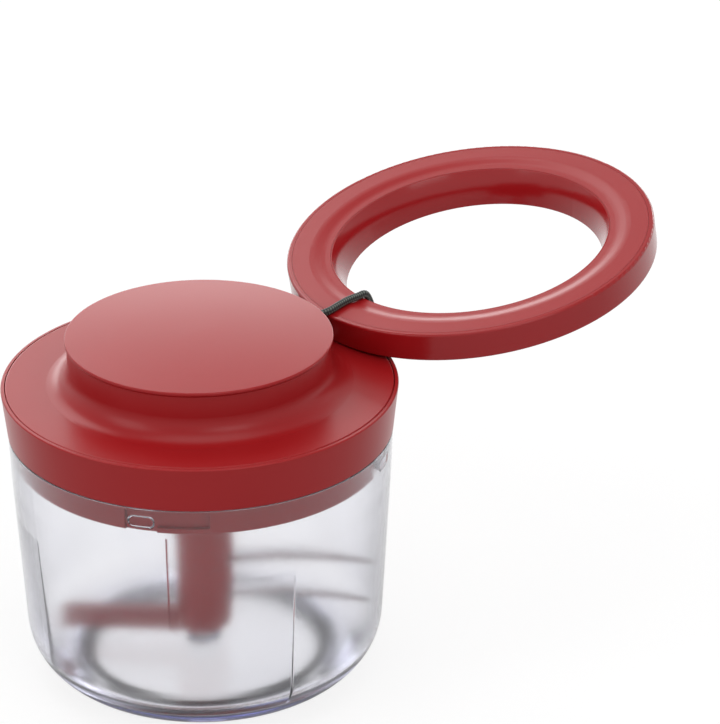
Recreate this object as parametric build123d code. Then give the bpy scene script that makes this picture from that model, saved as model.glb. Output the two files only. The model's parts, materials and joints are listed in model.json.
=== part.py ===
from build123d import *
import os
from math import acos, asin, atan2, cos, degrees, radians, sin, sqrt, tan

# Pull cord food chopper, in millimetres, +Z up. The origin is on the bowl's axis where its foot meets the table.
# The cord is pulled along +X, and the ring handle lies on the lid's edge on that side.

# Bowl: a clear moulding with a deep round corner at its foot
bowl_height = 97.3
bowl_rim_radius = 69.9
bowl_band_step = 0.7
bowl_band_height = 18.0
bowl_wall_lean = 4.9
bowl_foot_gap = 0.6
bowl_corner_radius = 22.7
bowl_wall = 2.6
bowl_inner_corner_radius = 9.0
bowl_rim_round = 0.5
floor_height = 9.8
floor_thickness = 2.6

# Lugs inside the bowl's rim, which the lid's skirt turns under
lug_count = 4
lug_first_angle = -53.4
lug_length = 10.0
lug_height = 4.4
lug_reach = 2.0
lug_drop = 5.8

# Raised pads on the bowl's inner wall, which throw the food back to the blades
pad_count = 4
pad_start_angle = -135.6
pad_span = 39.9
pad_drop = 29.3
pad_depth_at_floor = 2.4
pad_shift = 0.7

# Post in the middle of the bowl's floor
boss_radius = 6.5
boss_height = 4.6
pin_radius = 2.5
pin_over_blade = 1.5
pin_root = 3.5

# Foot ring under the floor
foot_ring_outset = 3.3
foot_ring_width = 3.8
foot_ring_round = 0.9
foot_recess_margin = 3.9

# Lid base: a collar on the rim, a skirt inside it and a plate across
rim_gap = 0.4
collar_height = 16.8
collar_overhang = 0.1
collar_flare = 1.9
collar_wall = 2.4
collar_rim_width = 1.4
collar_rim_round = 0.5
plate_thickness = 2.8
skirt_gap = 1.0
skirt_wall = 2.8
skirt_depth = 11.0
skirt_round = 0.8
hub_radius = 16.0
hub_rise = 3.0
hub_drop = 2.0

# Slots in the skirt, open at the bottom over the lugs
slot_play = 0.8
slot_depth = 1.5
slot_turn = 16.0

# Seal between the lid and the bowl's rim
seal_inset = 0.5
seal_width = 1.6
seal_height = 1.8
seal_play = 0.2

# Top cover: a flat shoulder, a round sweep up a neck, and a disc with a shallow crown
cover_seat_depth = 2.6
cover_edge_gap = 0.2
cover_edge_round = 0.5
shoulder_rise = 0.1
shoulder_width = 24.3
neck_sweep_radius = 8.0
disc_lip = 0.8
disc_rise = 18.1
disc_crown = 1.2
disc_edge_height = 1.0
disc_edge_slope = 0.9
disc_edge_round = 0.5
cover_wall = 2.0
cover_rim_wall = 2.2
cover_boss_radius = 8.0
cover_boss_height = 6.6
cover_post_inset = 3.6
cover_post_radius = 3.2
cover_post_count = 4
cover_post_first_angle = 45.0

# Screws
screw_radius = 1.3
screw_head_radius = 2.6
screw_head_height = 1.6
screw_bite = 7.0
screw_play = 0.2

# Plate that carries the reel, on posts of the lid base
carrier_inset = 1.6
carrier_thickness = 2.0
carrier_height = 10.5
carrier_post_inset = 7.6
carrier_post_radius = 3.6
carrier_post_count = 4
carrier_post_first_angle = 45.0

# Axle, its clip and its bush
axle_radius = 3.0
axle_seat = 5.5
axle_tail = 3.0
clip_radius = 4.6
clip_height = 0.8
clip_groove = 0.5
bush_radius = 5.0
running_gap = 0.05

# Reel
reel_journal_radius = 14.0
reel_journal_height = 3.0
reel_web = 2.0
reel_groove_depth = 5.6
reel_wall = 2.5
reel_post_gap = 5.4
reel_flange_thickness = 1.2
reel_cover_gap = 1.4
reel_groove_height = 9.2
reel_lip_height = 1.2
reel_lip_gap = 0.1
reel_hole_gap = 0.6

# Cord
cord_radius = 1.6
cord_gap = 0.3
cord_rise = 10.8
winding_turns = 2.5
knot_radius = 2.6
knot_standoff = 3.8
guide_inset = 8.6
guide_bend_radius = 5.0

# Coil spring inside the reel
spring_band = 0.5
spring_pitch = 1.8
spring_width = 7.0
spring_inner_radius = 3.6
spring_gap = 0.3

# Eyelet that the cord leaves through
eyelet_radius = 3.6
eyelet_bore = 2.0
eyelet_flange_radius = 4.2
eyelet_flange_thickness = 0.75
eyelet_length = 3.8
eyelet_play = 0.3

# One-way clutch and drive under the reel
drive_journal_radius = 12.6
drive_journal_drop = 1.9
drive_hex_flats = 12.0
drive_hex_length = 9.8
drive_flange_radius = 19.0
drive_flange_thickness = 2.5
drive_rim_height = 2.0
drive_clip_radius = 15.0
drive_clip_height = 1.2
drive_clip_seat = 1.0
drive_clip_opening = 12.0
ratchet_radius = 17.5
ratchet_root_radius = 15.0
ratchet_tip_radius = 13.6
ratchet_height = 4.0
ratchet_gap = 0.1
ratchet_teeth = 16
pawl_pivot_radius = 11.0
pawl_boss_radius = 2.2
pawl_tip_radius = 0.5
pawl_tip_circle = 13.75
pawl_tip_angle = 35.0
pawl_tip_gap = 1.5
pawl_gap = 0.3
pawl_height = 2.7
pawl_pin_radius = 1.1
pawl_pin_sink = 1.6
pawl_spring_radius = 1.9

# Blade column and what it carries
column_foot_radius = 10.4
column_top_radius = 11.2
column_foot_round = 1.6
column_gap = 0.8
column_top_gap = 4.7
column_hex_play = 0.2
column_hex_depth = 10.2
column_pin_play = 0.9
column_bush_height = 8.0
blade_thickness = 1.2
blade_root_width = 12.0
blade_tip_width = 2.6
blade_bow = 3.4
blade_tang = 8.0
blade_wall_gap = 3.3
upper_blade_height = 43.4
upper_blade_angle = -42.3
lower_blade_height = 28.5
lower_blade_angle = -44.4
arm_height = 8.2
arm_lift = 3.4
arm_wall_gap = 6.1
arm_root_thickness = 5.6
arm_tip_thickness = 4.0
arm_tip_round = 1.9
arm_angle = 140.0
arm_tang = 7.4

# Ring handle, in its own frame: t is measured down from the top face of its rim
handle_tilt = 10.22
handle_knot_gap = 4.1
handle_rest_gap = 0.3
handle_inset = 2.3
handle_side_height = 10.9
handle_lip_width = 2.0
handle_lip_round = 0.9
handle_foot_round = 0.8
handle_inner_foot_round = 0.3
handle_disc_gap = 0.4
handle_inner_lean = 3.7
handle_inner_bulge = 1.0
handle_inner_top_drop = 1.1
handle_inner_lip = 0.4
handle_ledge = 1.9
handle_outer_ledge = 1.0
handle_floor = 2.0
handle_bridge_half_width = 7.0
cap_thickness = 1.8
cap_gap = 0.1
cap_slope_width = 3.4
cap_step_length = 4.0
cap_step_drop = 0.9
cap_step_round = 10.0
cap_post_radius = 2.4
cap_post_inset = 0.5
cap_post_length = 6.0
cap_post_count = 4
cap_post_first_angle = 45.0
handle_screw_radius = 1.1
handle_screw_head_radius = 2.3
handle_screw_sink = 1.6
handle_screw_boss_radius = 3.6
handle_screw_boss_height = 2.4
loop_bend_radius = 3.0
loop_under_gap = 2.0
loop_inner_gap = 2.6
loop_notch_play = 0.4
loop_start_gap = 0.6

# Every cut runs this far past the face that it cuts
overrun = 1.0

# Radii worked out from the sizes above
bowl_band_radius = bowl_rim_radius - bowl_band_step
bowl_foot_radius = bowl_band_radius - bowl_wall_lean
bowl_inner_radius = bowl_band_radius - bowl_wall
foot_ring_radius = bowl_foot_radius - bowl_corner_radius + foot_ring_outset
collar_bottom_radius = bowl_rim_radius + collar_overhang
collar_top_radius = collar_bottom_radius + collar_flare
skirt_radius = bowl_inner_radius - skirt_gap
seal_radius = bowl_rim_radius - bowl_wall / 2 - seal_inset
cover_post_circle = skirt_radius - skirt_wall - cover_post_inset
neck_radius = collar_top_radius - shoulder_width
disc_radius = neck_radius + disc_lip
carrier_radius = neck_radius - carrier_inset
carrier_post_circle = neck_radius - carrier_post_inset
guide_reach = neck_radius - guide_inset
knot_reach = neck_radius + knot_standoff
reel_flange_radius = carrier_post_circle - carrier_post_radius - reel_post_gap
reel_core_radius = reel_flange_radius - reel_groove_depth
winding_radius = reel_core_radius + cord_gap + cord_radius
handle_radius = collar_top_radius - handle_inset
handle_inner_radius = disc_radius + handle_disc_gap
handle_inner_top_radius = handle_inner_radius + handle_inner_lean
cap_step_end_radius = handle_inner_top_radius + cap_slope_width
cap_step_start_radius = cap_step_end_radius + cap_step_length
cap_post_circle = cap_step_start_radius - cap_post_inset

# Heights worked out from the sizes above
pad_top_height = bowl_height - pad_drop
boss_top = floor_height + boss_height
collar_bottom = bowl_height + rim_gap
collar_top = collar_bottom + collar_height
plate_top = collar_bottom + plate_thickness
hub_top = plate_top + hub_rise
hub_bottom = collar_bottom - hub_drop
pin_top = upper_blade_height + pin_over_blade
column_bottom = boss_top + column_gap
column_top = collar_bottom - column_top_gap
shoulder_height = collar_top + shoulder_rise
cord_level = shoulder_height + cord_rise
disc_top = collar_top + disc_rise
disc_under = disc_top - cover_wall
carrier_bottom = plate_top + carrier_height
carrier_top = carrier_bottom + carrier_thickness
reel_bottom = carrier_top - reel_journal_height
reel_top = disc_under - reel_cover_gap - reel_flange_thickness

# Place of the handle, whose near side lies on the shoulder
handle_slope = tan(radians(handle_tilt))
handle_distance = knot_reach + handle_knot_gap + handle_radius * cos(radians(handle_tilt))
handle_lift = handle_side_height * cos(radians(handle_tilt)) + handle_radius * sin(radians(handle_tilt))
handle_height = shoulder_height + handle_rest_gap + handle_lift
bottom_up = (Align.CENTER, Align.CENTER, Align.MIN)


def outline(points, rounds=()):
    """A closed outline, with the corners nearest the places in rounds made round."""
    face = make_face(Polyline(*points, close=True))
    for place, radius in rounds:
        corner = min(face.vertices(), key=lambda v: (v.X - place[0]) ** 2 + (v.Y - place[1]) ** 2)
        face = fillet(corner, radius)
    return face


def turned(face):
    """The solid that an outline in (radius, height) makes when it turns about Z."""
    return revolve(Plane.XZ * face, Axis.Z)


def disc(radius, low, high):
    """A round bar about Z from low to high."""
    return Pos(0, 0, low) * Cylinder(radius, high - low, align=bottom_up)


def tube(inner, outer, low, high):
    """A round tube about Z from low to high."""
    return disc(outer, low, high) - disc(inner, low - overrun, high + overrun)


def around(count, first_angle, shape):
    """Copies of a shape spaced evenly about Z."""
    return [Rot(0, 0, first_angle + 360 * k / count) * shape for k in range(count)]


def hexagon(flats, low, high):
    """A hexagonal bar about Z with the given width across its flats."""
    corner = flats / 2 / cos(radians(30))
    return extrude(Pos(0, 0, low) * RegularPolygon(corner, 6), high - low)


def sector(radius, start, span, low, high):
    """A wedge about Z between two angles."""
    points = [(0, 0), (radius, 0), (radius * cos(radians(span)), radius * sin(radians(span)))]
    edges = [
        Line(points[0], points[1]),
        ThreePointArc(points[1], (radius * cos(radians(span / 2)), radius * sin(radians(span / 2))), points[2]),
        Line(points[2], points[0]),
    ]
    return Rot(0, 0, start) * extrude(Pos(0, 0, low) * make_face(edges), high - low)


def wall_radius(height):
    """Outer radius of the bowl's straight wall at a height."""
    band_bottom = bowl_height - bowl_band_height
    share = (height - bowl_foot_gap) / (band_bottom - bowl_foot_gap)
    return bowl_foot_radius + (bowl_band_radius - bowl_foot_radius) * share


def bowl_cavity(wall, floor, corner, shift=0.0):
    """The space inside the bowl, for a wall thickness that the pads also use."""
    band_bottom = bowl_height - bowl_band_height
    foot = (wall_radius(floor) - wall - shift, floor)
    points = [
        (0, floor),
        foot,
        (bowl_band_radius - wall, band_bottom),
        (bowl_rim_radius - wall, bowl_height),
        (bowl_rim_radius - wall, bowl_height + overrun),
        (0, bowl_height + overrun),
    ]
    return turned(outline(points, [(foot, corner)]))


def bowl():
    band_bottom = bowl_height - bowl_band_height
    foot = (bowl_foot_radius, bowl_foot_gap)
    points = [
        (0, bowl_foot_gap),
        foot,
        (bowl_band_radius, band_bottom),
        (bowl_rim_radius, bowl_height),
        (0, bowl_height),
    ]
    rim = (bowl_rim_radius, bowl_height)
    body = turned(outline(points, [(foot, bowl_corner_radius), (rim, bowl_rim_round)]))
    cavity = bowl_cavity(bowl_wall, floor_height, bowl_inner_corner_radius)
    recess_radius = foot_ring_radius + foot_recess_margin
    body -= disc(recess_radius, bowl_foot_gap - overrun, floor_height - floor_thickness)
    body -= cavity
    body += pads(cavity)
    body += disc(boss_radius, floor_height - floor_thickness / 2, boss_top)
    body -= disc(pin_radius, boss_top - pin_root, boss_top + overrun)
    return body + lugs()


def pads(cavity):
    """Four low pads whose inner faces stand off the wall more and more towards the floor."""
    low_radius = wall_radius(floor_height) - bowl_wall - pad_depth_at_floor
    top_radius = wall_radius(pad_top_height) - bowl_wall + pad_shift / 2
    inside = turned(
        outline(
            [(0, floor_height), (low_radius, floor_height), (top_radius, pad_top_height), (0, pad_top_height)],
            [((low_radius, floor_height), bowl_inner_corner_radius)],
        )
    )
    reach = bowl_rim_radius
    wedge = sector(reach, pad_start_angle, pad_span, floor_height - floor_thickness / 2, pad_top_height)
    skin = bowl_cavity(bowl_wall / 2, floor_height - floor_thickness / 2, bowl_inner_corner_radius)
    aside = radians(pad_start_angle)
    pad = (wedge & skin) - Pos(pad_shift * cos(aside), pad_shift * sin(aside), 0) * inside
    pad -= disc(bowl_foot_radius - bowl_corner_radius, 0, pad_top_height)
    return around(pad_count, 0, pad)


def lugs():
    """Pill-shaped lugs on the inner wall, just under the rim."""
    middle = bowl_height - lug_drop
    face = Plane(origin=(bowl_inner_radius - lug_reach, 0, middle), x_dir=(0, 1, 0), z_dir=(1, 0, 0))
    lug = extrude(face * SlotOverall(lug_length, lug_height), lug_reach + bowl_wall / 2)
    return around(lug_count, lug_first_angle, lug)


def foot_ring():
    inner = foot_ring_radius - foot_ring_width / 2
    outer = foot_ring_radius + foot_ring_width / 2
    top = floor_height - floor_thickness
    points = [(inner, 0), (outer, 0), (outer, top), (inner, top)]
    return turned(outline(points, [((inner, 0), foot_ring_round), ((outer, 0), foot_ring_round)]))


def centre_pin():
    pin = disc(pin_radius, boss_top - pin_root, pin_top)
    return chamfer(pin.edges().sort_by(Axis.Z)[-1], pin_radius / 4)


def skirt_slots():
    """L-shaped slots in the skirt: a mouth over each lug, and a run that the lid is turned along."""
    middle = bowl_height - lug_drop
    half = degrees(asin((lug_length / 2 + slot_play) / skirt_radius))
    low = middle - lug_height / 2 - slot_play / 2
    high = middle + lug_height / 2 + slot_play
    mouth = sector(skirt_radius + overrun, -half, 2 * half, collar_bottom - skirt_depth - overrun, high)
    run = sector(skirt_radius + overrun, -half, 2 * half + slot_turn, low, high)
    floor_of_slot = disc(skirt_radius - slot_depth, collar_bottom - skirt_depth - overrun, collar_bottom)
    return around(lug_count, lug_first_angle, (mouth + run) - floor_of_slot)


def lid_base():
    """Collar, plate and skirt in one moulding, with the hub of the drive and the posts of the carrier."""
    inner = collar_bottom_radius - collar_wall
    seat = collar_top - cover_seat_depth
    pocket = collar_top_radius - collar_rim_width
    skirt_bottom = collar_bottom - skirt_depth
    rim = (collar_top_radius, collar_top)
    points = [
        (drive_journal_radius + running_gap, hub_bottom),
        (hub_radius, hub_bottom),
        (hub_radius, collar_bottom),
        (skirt_radius - skirt_wall, collar_bottom),
        (skirt_radius - skirt_wall, skirt_bottom),
        (skirt_radius, skirt_bottom),
        (skirt_radius, collar_bottom),
        (collar_bottom_radius, collar_bottom),
        rim,
        (pocket, collar_top),
        (pocket, seat),
        (inner, seat),
        (inner, plate_top),
        (hub_radius, plate_top),
        (hub_radius, hub_top),
        (drive_journal_radius + running_gap, hub_top),
    ]
    rounds = [
        (rim, collar_rim_round),
        ((skirt_radius - skirt_wall, skirt_bottom), skirt_round),
        ((skirt_radius, skirt_bottom), skirt_round),
    ]
    body = turned(outline(points, rounds))
    groove_high = bowl_height + seal_height + seal_play
    half = seal_width / 2 + seal_play
    body -= tube(seal_radius - half, seal_radius + half, collar_bottom - overrun, groove_high)
    for slot in skirt_slots():
        body -= slot
    post = disc(carrier_post_radius, plate_top - plate_thickness / 2, carrier_bottom)
    post -= disc(screw_radius, carrier_bottom - screw_bite - screw_play, carrier_bottom + overrun)
    body += around(carrier_post_count, carrier_post_first_angle, Pos(carrier_post_circle, 0, 0) * post)
    hole = disc(screw_radius + screw_play, collar_bottom - overrun, plate_top + overrun)
    hole += disc(screw_head_radius + screw_play, collar_bottom - overrun, collar_bottom + screw_head_height)
    for cut in around(cover_post_count, cover_post_first_angle, Pos(cover_post_circle, 0, 0) * hole):
        body -= cut
    return body


def lid_seal():
    half = seal_width / 2
    return tube(seal_radius - half, seal_radius + half, bowl_height, bowl_height + seal_height)


def top_cover():
    """Shoulder, neck and disc in one thin shell, with a boss for the axle and posts for the screws."""
    edge = collar_top_radius - collar_rim_width - cover_edge_gap
    seat = collar_top - cover_seat_depth
    inner_edge = edge - cover_rim_wall
    shelf = shoulder_height - cover_wall
    inner_neck = neck_radius - cover_wall
    lip = disc_top - disc_edge_height
    points = [
        (0, disc_top),
        (disc_radius, disc_top),
        (disc_radius, lip),
        (neck_radius, lip - disc_edge_slope),
        (neck_radius, shoulder_height),
        (edge, shoulder_height),
        (edge, seat),
        (inner_edge, seat),
        (inner_edge, shelf),
        (inner_neck, shelf),
        (inner_neck, disc_under),
        (0, disc_under),
    ]
    rounds = [
        ((disc_radius, disc_top), disc_edge_round),
        ((neck_radius, shoulder_height), neck_sweep_radius),
        ((edge, shoulder_height), cover_edge_round),
        ((inner_neck, shelf), neck_sweep_radius + cover_wall),
    ]
    body = turned(outline(points, rounds)) + crown()
    body += disc(cover_boss_radius, disc_under - cover_boss_height, disc_top - cover_wall / 2)
    body -= disc(axle_radius, disc_under - cover_boss_height - overrun, disc_under)
    post = disc(cover_post_radius, plate_top, shoulder_height - cover_wall / 2)
    post -= disc(screw_radius, plate_top - overrun, plate_top + screw_bite + screw_play)
    body += around(cover_post_count, cover_post_first_angle, Pos(cover_post_circle, 0, 0) * post)
    return body - bar_along_x(eyelet_radius, 0, disc_radius)


def crown():
    """The shallow dome on the disc, from the round of its edge up to its middle."""
    reach = disc_radius - disc_edge_round
    ball_radius = (reach**2 + disc_crown**2) / (2 * disc_crown)
    ball = Pos(0, 0, disc_top + disc_crown - ball_radius) * Sphere(ball_radius)
    return ball & disc(reach, disc_top - cover_wall / 2, disc_top + disc_crown + overrun)


def screw(low, length, head_below):
    """A screw along Z with its head at low, and its head below or above its shank."""
    if head_below:
        return disc(screw_head_radius, low, low + screw_head_height) + disc(
            screw_radius, low, low + screw_head_height + length
        )
    return disc(screw_head_radius, low, low + screw_head_height) + disc(screw_radius, low - length, low)


def cover_screws():
    shank = plate_thickness - screw_head_height + screw_bite
    one = Pos(cover_post_circle, 0, 0) * screw(collar_bottom, shank, True)
    return Compound(around(cover_post_count, cover_post_first_angle, one))


def carrier_screws():
    one = Pos(carrier_post_circle, 0, 0) * screw(carrier_top, carrier_thickness + screw_bite, False)
    return Compound(around(carrier_post_count, carrier_post_first_angle, one))


def carrier_plate():
    """Plate across the lid with the bearing hole of the reel."""
    plate = tube(reel_journal_radius + running_gap, carrier_radius, carrier_bottom, carrier_top)
    hole = disc(screw_radius + screw_play, carrier_bottom - overrun, carrier_top + overrun)
    for cut in around(carrier_post_count, carrier_post_first_angle, Pos(carrier_post_circle, 0, 0) * hole):
        plate -= cut
    return plate


def reel_axle():
    low = reel_bottom - axle_tail
    axle = disc(axle_radius, low, disc_under - cover_boss_height + axle_seat)
    groove_low = reel_bottom - clip_height
    return axle - tube(axle_radius - clip_groove, axle_radius + overrun, groove_low, reel_bottom)


def axle_clip():
    return tube(axle_radius - clip_groove, clip_radius, reel_bottom - clip_height, reel_bottom)


def reel_bush():
    return tube(axle_radius + running_gap, bush_radius, reel_bottom, carrier_top + reel_web)


def cord_reel():
    """Drum with its lower flange, its journal below, and a hollow that holds the coil spring."""
    groove_low = reel_top - reel_groove_height
    points = [
        (bush_radius, reel_bottom),
        (reel_journal_radius, reel_bottom),
        (reel_journal_radius, carrier_top),
        (reel_core_radius, carrier_top),
        (reel_core_radius, groove_low - reel_flange_thickness),
        (reel_flange_radius, groove_low - reel_flange_thickness),
        (reel_flange_radius, groove_low),
        (reel_core_radius, groove_low),
        (reel_core_radius, reel_top),
        (reel_core_radius - reel_wall, reel_top),
        (reel_core_radius - reel_wall, carrier_top + reel_web),
        (bush_radius, carrier_top + reel_web),
    ]
    body = turned(outline(points))
    hole = Pos(pawl_pivot_radius, 0, 0) * disc(pawl_pin_radius, reel_bottom - overrun, reel_bottom + pawl_pin_sink)
    for cut in around(2, 0, hole):
        body -= cut
    return body


def reel_flange():
    """Upper flange, which closes the spring's hollow."""
    hole = cover_boss_radius + reel_hole_gap
    body = tube(hole, reel_flange_radius, reel_top, reel_top + reel_flange_thickness)
    lip = reel_core_radius - reel_wall - reel_lip_gap
    return body + tube(lip - reel_wall, lip, reel_top - reel_lip_height, reel_top + reel_flange_thickness / 2)


def wound_cord():
    """The cord on the reel, in one layer."""
    inner = reel_core_radius + cord_gap
    half = cord_radius * winding_turns
    middle = reel_top - reel_groove_height / 2
    return tube(inner, inner + 2 * cord_radius, middle - half, middle + half)


def coil_spring():
    """Flat spiral of half turns, each centred half a pitch to the other side of the axle."""
    low = carrier_top + reel_web + spring_gap
    room = reel_core_radius - reel_wall - spring_gap - spring_inner_radius - spring_band - spring_pitch / 4
    turns = []
    for k in range(int(2 * room / spring_pitch) + 1):
        middle = spring_inner_radius + spring_band / 2 + k * spring_pitch / 2
        band = tube(middle - spring_band / 2, middle + spring_band / 2, low, low + spring_width)
        half = sector(middle + spring_pitch, 180 * (k % 2), 180, low - overrun, low + spring_width + overrun)
        turns.append(Pos(spring_pitch / 4 * (1 - 2 * (k % 2)), 0, 0) * (band & half))
    return turns[0].fuse(*turns[1:])


def lead_cord():
    """The cord from the reel, past its guide and out through the eyelet."""
    bend = 90 - degrees(acos(winding_radius / guide_reach))
    along = (cos(radians(bend)), sin(radians(bend)))
    run = sqrt(guide_reach**2 - winding_radius**2)
    clear = reel_core_radius + 2 * cord_gap + 3 * cord_radius
    start = run - sqrt((clear + cord_gap) ** 2 - winding_radius**2)
    setback = guide_bend_radius * tan(radians(bend / 2))
    first = (guide_reach - start * along[0], -start * along[1])
    into = (guide_reach - setback * along[0], -setback * along[1])
    out = (guide_reach + setback, 0)
    last = neck_radius + eyelet_flange_thickness
    path = Line(first, into) + JernArc(into, along, guide_bend_radius, -bend) + Line(out, (last, 0))
    path = Pos(0, 0, cord_level) * path
    return sweep(Plane(origin=path @ 0, z_dir=path % 0) * Circle(cord_radius), path=path)


def guide_post():
    """Steel post that the cord bends round on its way to the eyelet."""
    bend = 90 - degrees(acos(winding_radius / guide_reach))
    setback = guide_bend_radius * tan(radians(bend / 2))
    radius = guide_bend_radius - cord_radius - cord_gap
    post = disc(radius, carrier_top, reel_top + reel_flange_thickness)
    return Pos(guide_reach + setback, -guide_bend_radius, 0) * post


def bar_along_x(radius, start, end):
    """A round bar along X at the cord's level."""
    face = Plane(origin=(start, 0, cord_level), x_dir=(0, 1, 0), z_dir=(1, 0, 0))
    return extrude(face * Circle(radius), end - start)


def cord_eyelet():
    """Flanged eyelet in the neck, along X."""
    flange_start = neck_radius + eyelet_play / 2
    end = flange_start + eyelet_flange_thickness
    start = end - eyelet_length
    body = bar_along_x(eyelet_radius, start, end) + bar_along_x(eyelet_flange_radius, flange_start, end)
    return body - bar_along_x(eyelet_bore, start - overrun, end + overrun)


def drive_shaft():
    """Flange and journal in the lid's hub, with a hexagon below that turns the blade column."""
    journal_bottom = hub_bottom - drive_journal_drop
    body = disc(drive_journal_radius, journal_bottom, hub_top)
    body -= tube(drive_journal_radius - drive_clip_seat, drive_journal_radius + overrun, *drive_clip_span())
    body += disc(drive_flange_radius, hub_top, hub_top + drive_flange_thickness)
    rim_low = hub_top + drive_flange_thickness
    body += tube(ratchet_radius + ratchet_gap, drive_flange_radius, rim_low, rim_low + drive_rim_height)
    return body + hexagon(drive_hex_flats, journal_bottom - drive_hex_length, journal_bottom)


def drive_clip_span():
    """Height of the clip that holds the drive in the hub."""
    high = hub_bottom - running_gap
    return high - drive_clip_height, high


def drive_clip():
    low, high = drive_clip_span()
    ring = tube(drive_journal_radius - drive_clip_seat, drive_clip_radius, low, high)
    opening = Box(drive_clip_radius + overrun, drive_clip_opening, high - low + 2 * overrun)
    return ring - Pos((drive_clip_radius + overrun) / 2, 0, (low + high) / 2) * opening


def ratchet_ring():
    """Ring of inward saw teeth, whose steep faces meet the pawls as the cord is pulled."""
    low = hub_top + drive_flange_thickness
    pitch = 360 / ratchet_teeth
    face_angle = pawl_tip_angle + degrees(pawl_tip_gap / pawl_tip_circle)
    points = []
    for k in range(ratchet_teeth):
        angle = radians(face_angle + k * pitch)
        points.append((ratchet_root_radius * cos(angle), ratchet_root_radius * sin(angle)))
        points.append((ratchet_tip_radius * cos(angle), ratchet_tip_radius * sin(angle)))
    ring = Circle(ratchet_radius) - make_face(Polyline(*points, close=True))
    return extrude(Pos(0, 0, low) * ring, ratchet_height)


def front_pawl():
    """One pawl on its pin, reaching forward to a tooth."""
    low = hub_top + drive_flange_thickness + pawl_gap
    tip = (pawl_tip_circle * cos(radians(pawl_tip_angle)), pawl_tip_circle * sin(radians(pawl_tip_angle)))
    reach = sqrt((tip[0] - pawl_pivot_radius) ** 2 + tip[1] ** 2)
    turn = degrees(atan2(tip[1], tip[0] - pawl_pivot_radius))
    lean = asin((pawl_boss_radius - pawl_tip_radius) / reach)
    boss_side = (pawl_boss_radius * sin(lean), pawl_boss_radius * cos(lean))
    tip_side = (reach + pawl_tip_radius * sin(lean), pawl_tip_radius * cos(lean))
    bar = Polyline(
        boss_side, tip_side, (tip_side[0], -tip_side[1]), (boss_side[0], -boss_side[1]), close=True
    )
    shape = make_face(bar) + Circle(pawl_boss_radius) + Pos(reach, 0) * Circle(pawl_tip_radius)
    shape -= Circle(pawl_pin_radius + running_gap)
    return extrude(Pos(pawl_pivot_radius, 0, low) * Rot(0, 0, turn) * shape, pawl_height)


def rear_pawl():
    return Rot(0, 0, 180) * front_pawl()


def pawl_pins():
    low = hub_top + drive_flange_thickness + pawl_gap
    pin = Pos(pawl_pivot_radius, 0, 0) * disc(pawl_pin_radius, low, reel_bottom + pawl_pin_sink)
    return Compound(around(2, 0, pin))


def pawl_springs():
    low = hub_top + drive_flange_thickness + 2 * pawl_gap + pawl_height
    spring = Pos(pawl_pivot_radius, 0, 0) * tube(pawl_pin_radius, pawl_spring_radius, low, reel_bottom - running_gap)
    return Compound(around(2, 0, spring))


def blade(height, angle):
    """Flat curved blade with a tang that is held in the column."""
    reach = wall_radius(height) - bowl_wall - blade_wall_gap
    low = height - blade_thickness / 2
    half = blade_root_width / 2
    tip_half = blade_tip_width / 2
    middle = (reach + blade_tang) / 2
    middle_half = (half + tip_half) / 2
    edges = [
        Line((-blade_tang, -half), (blade_tang, -half)),
        ThreePointArc((blade_tang, -half), (middle, blade_bow - middle_half), (reach, -tip_half)),
        Line((reach, -tip_half), (reach, tip_half)),
        ThreePointArc((reach, tip_half), (middle, blade_bow + middle_half), (blade_tang, half)),
        Line((blade_tang, half), (-blade_tang, half)),
        Line((-blade_tang, half), (-blade_tang, -half)),
    ]
    plate = extrude(Pos(0, 0, low) * make_face(edges), blade_thickness)
    plate -= disc(pin_radius + column_pin_play, low - overrun, low + blade_thickness + overrun)
    return Rot(0, 0, angle) * plate


def upper_blade():
    return blade(upper_blade_height, upper_blade_angle)


def lower_blade():
    return blade(lower_blade_height, lower_blade_angle)


def mixing_arm():
    """Plain arm opposite the blades, which sweeps just over the floor."""
    low = floor_height + arm_lift
    reach = wall_radius(floor_height) - bowl_wall - pad_depth_at_floor - arm_wall_gap
    root = arm_root_thickness / 2
    tip = arm_tip_thickness / 2
    points = [(arm_tang, -root), (reach, -tip), (reach, tip), (arm_tang, root)]
    rounds = [((reach, -tip), arm_tip_round), ((reach, tip), arm_tip_round)]
    return Rot(0, 0, arm_angle) * extrude(Pos(0, 0, low) * outline(points, rounds), arm_height)


def column_bush():
    return tube(pin_radius + running_gap, bush_radius, boss_top, boss_top + column_bush_height)


def blade_column():
    """Column on the bowl's pin, with a hexagonal socket for the drive."""
    foot = (column_foot_radius, column_bottom)
    points = [(0, column_bottom), foot, (column_top_radius, column_top), (0, column_top)]
    body = turned(outline(points, [(foot, column_foot_round)]))
    body -= disc(pin_radius + column_pin_play, column_bottom - overrun, pin_top + column_pin_play)
    body -= disc(bush_radius, column_bottom - overrun, boss_top + column_bush_height)
    flats = drive_hex_flats + 2 * column_hex_play
    body -= hexagon(flats, column_top - column_hex_depth, column_top + overrun)
    return body - upper_blade() - lower_blade() - mixing_arm()


def placed(shape):
    """From the handle's own frame to its place on the lid's edge, with its far side raised."""
    return Pos(handle_distance, 0, handle_height) * Rot(0, -handle_tilt, 0) * shape


def handle_under(radius):
    """Depth of the handle's sloping underside at a radius."""
    return -handle_side_height - (handle_radius - radius) * handle_slope


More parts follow.
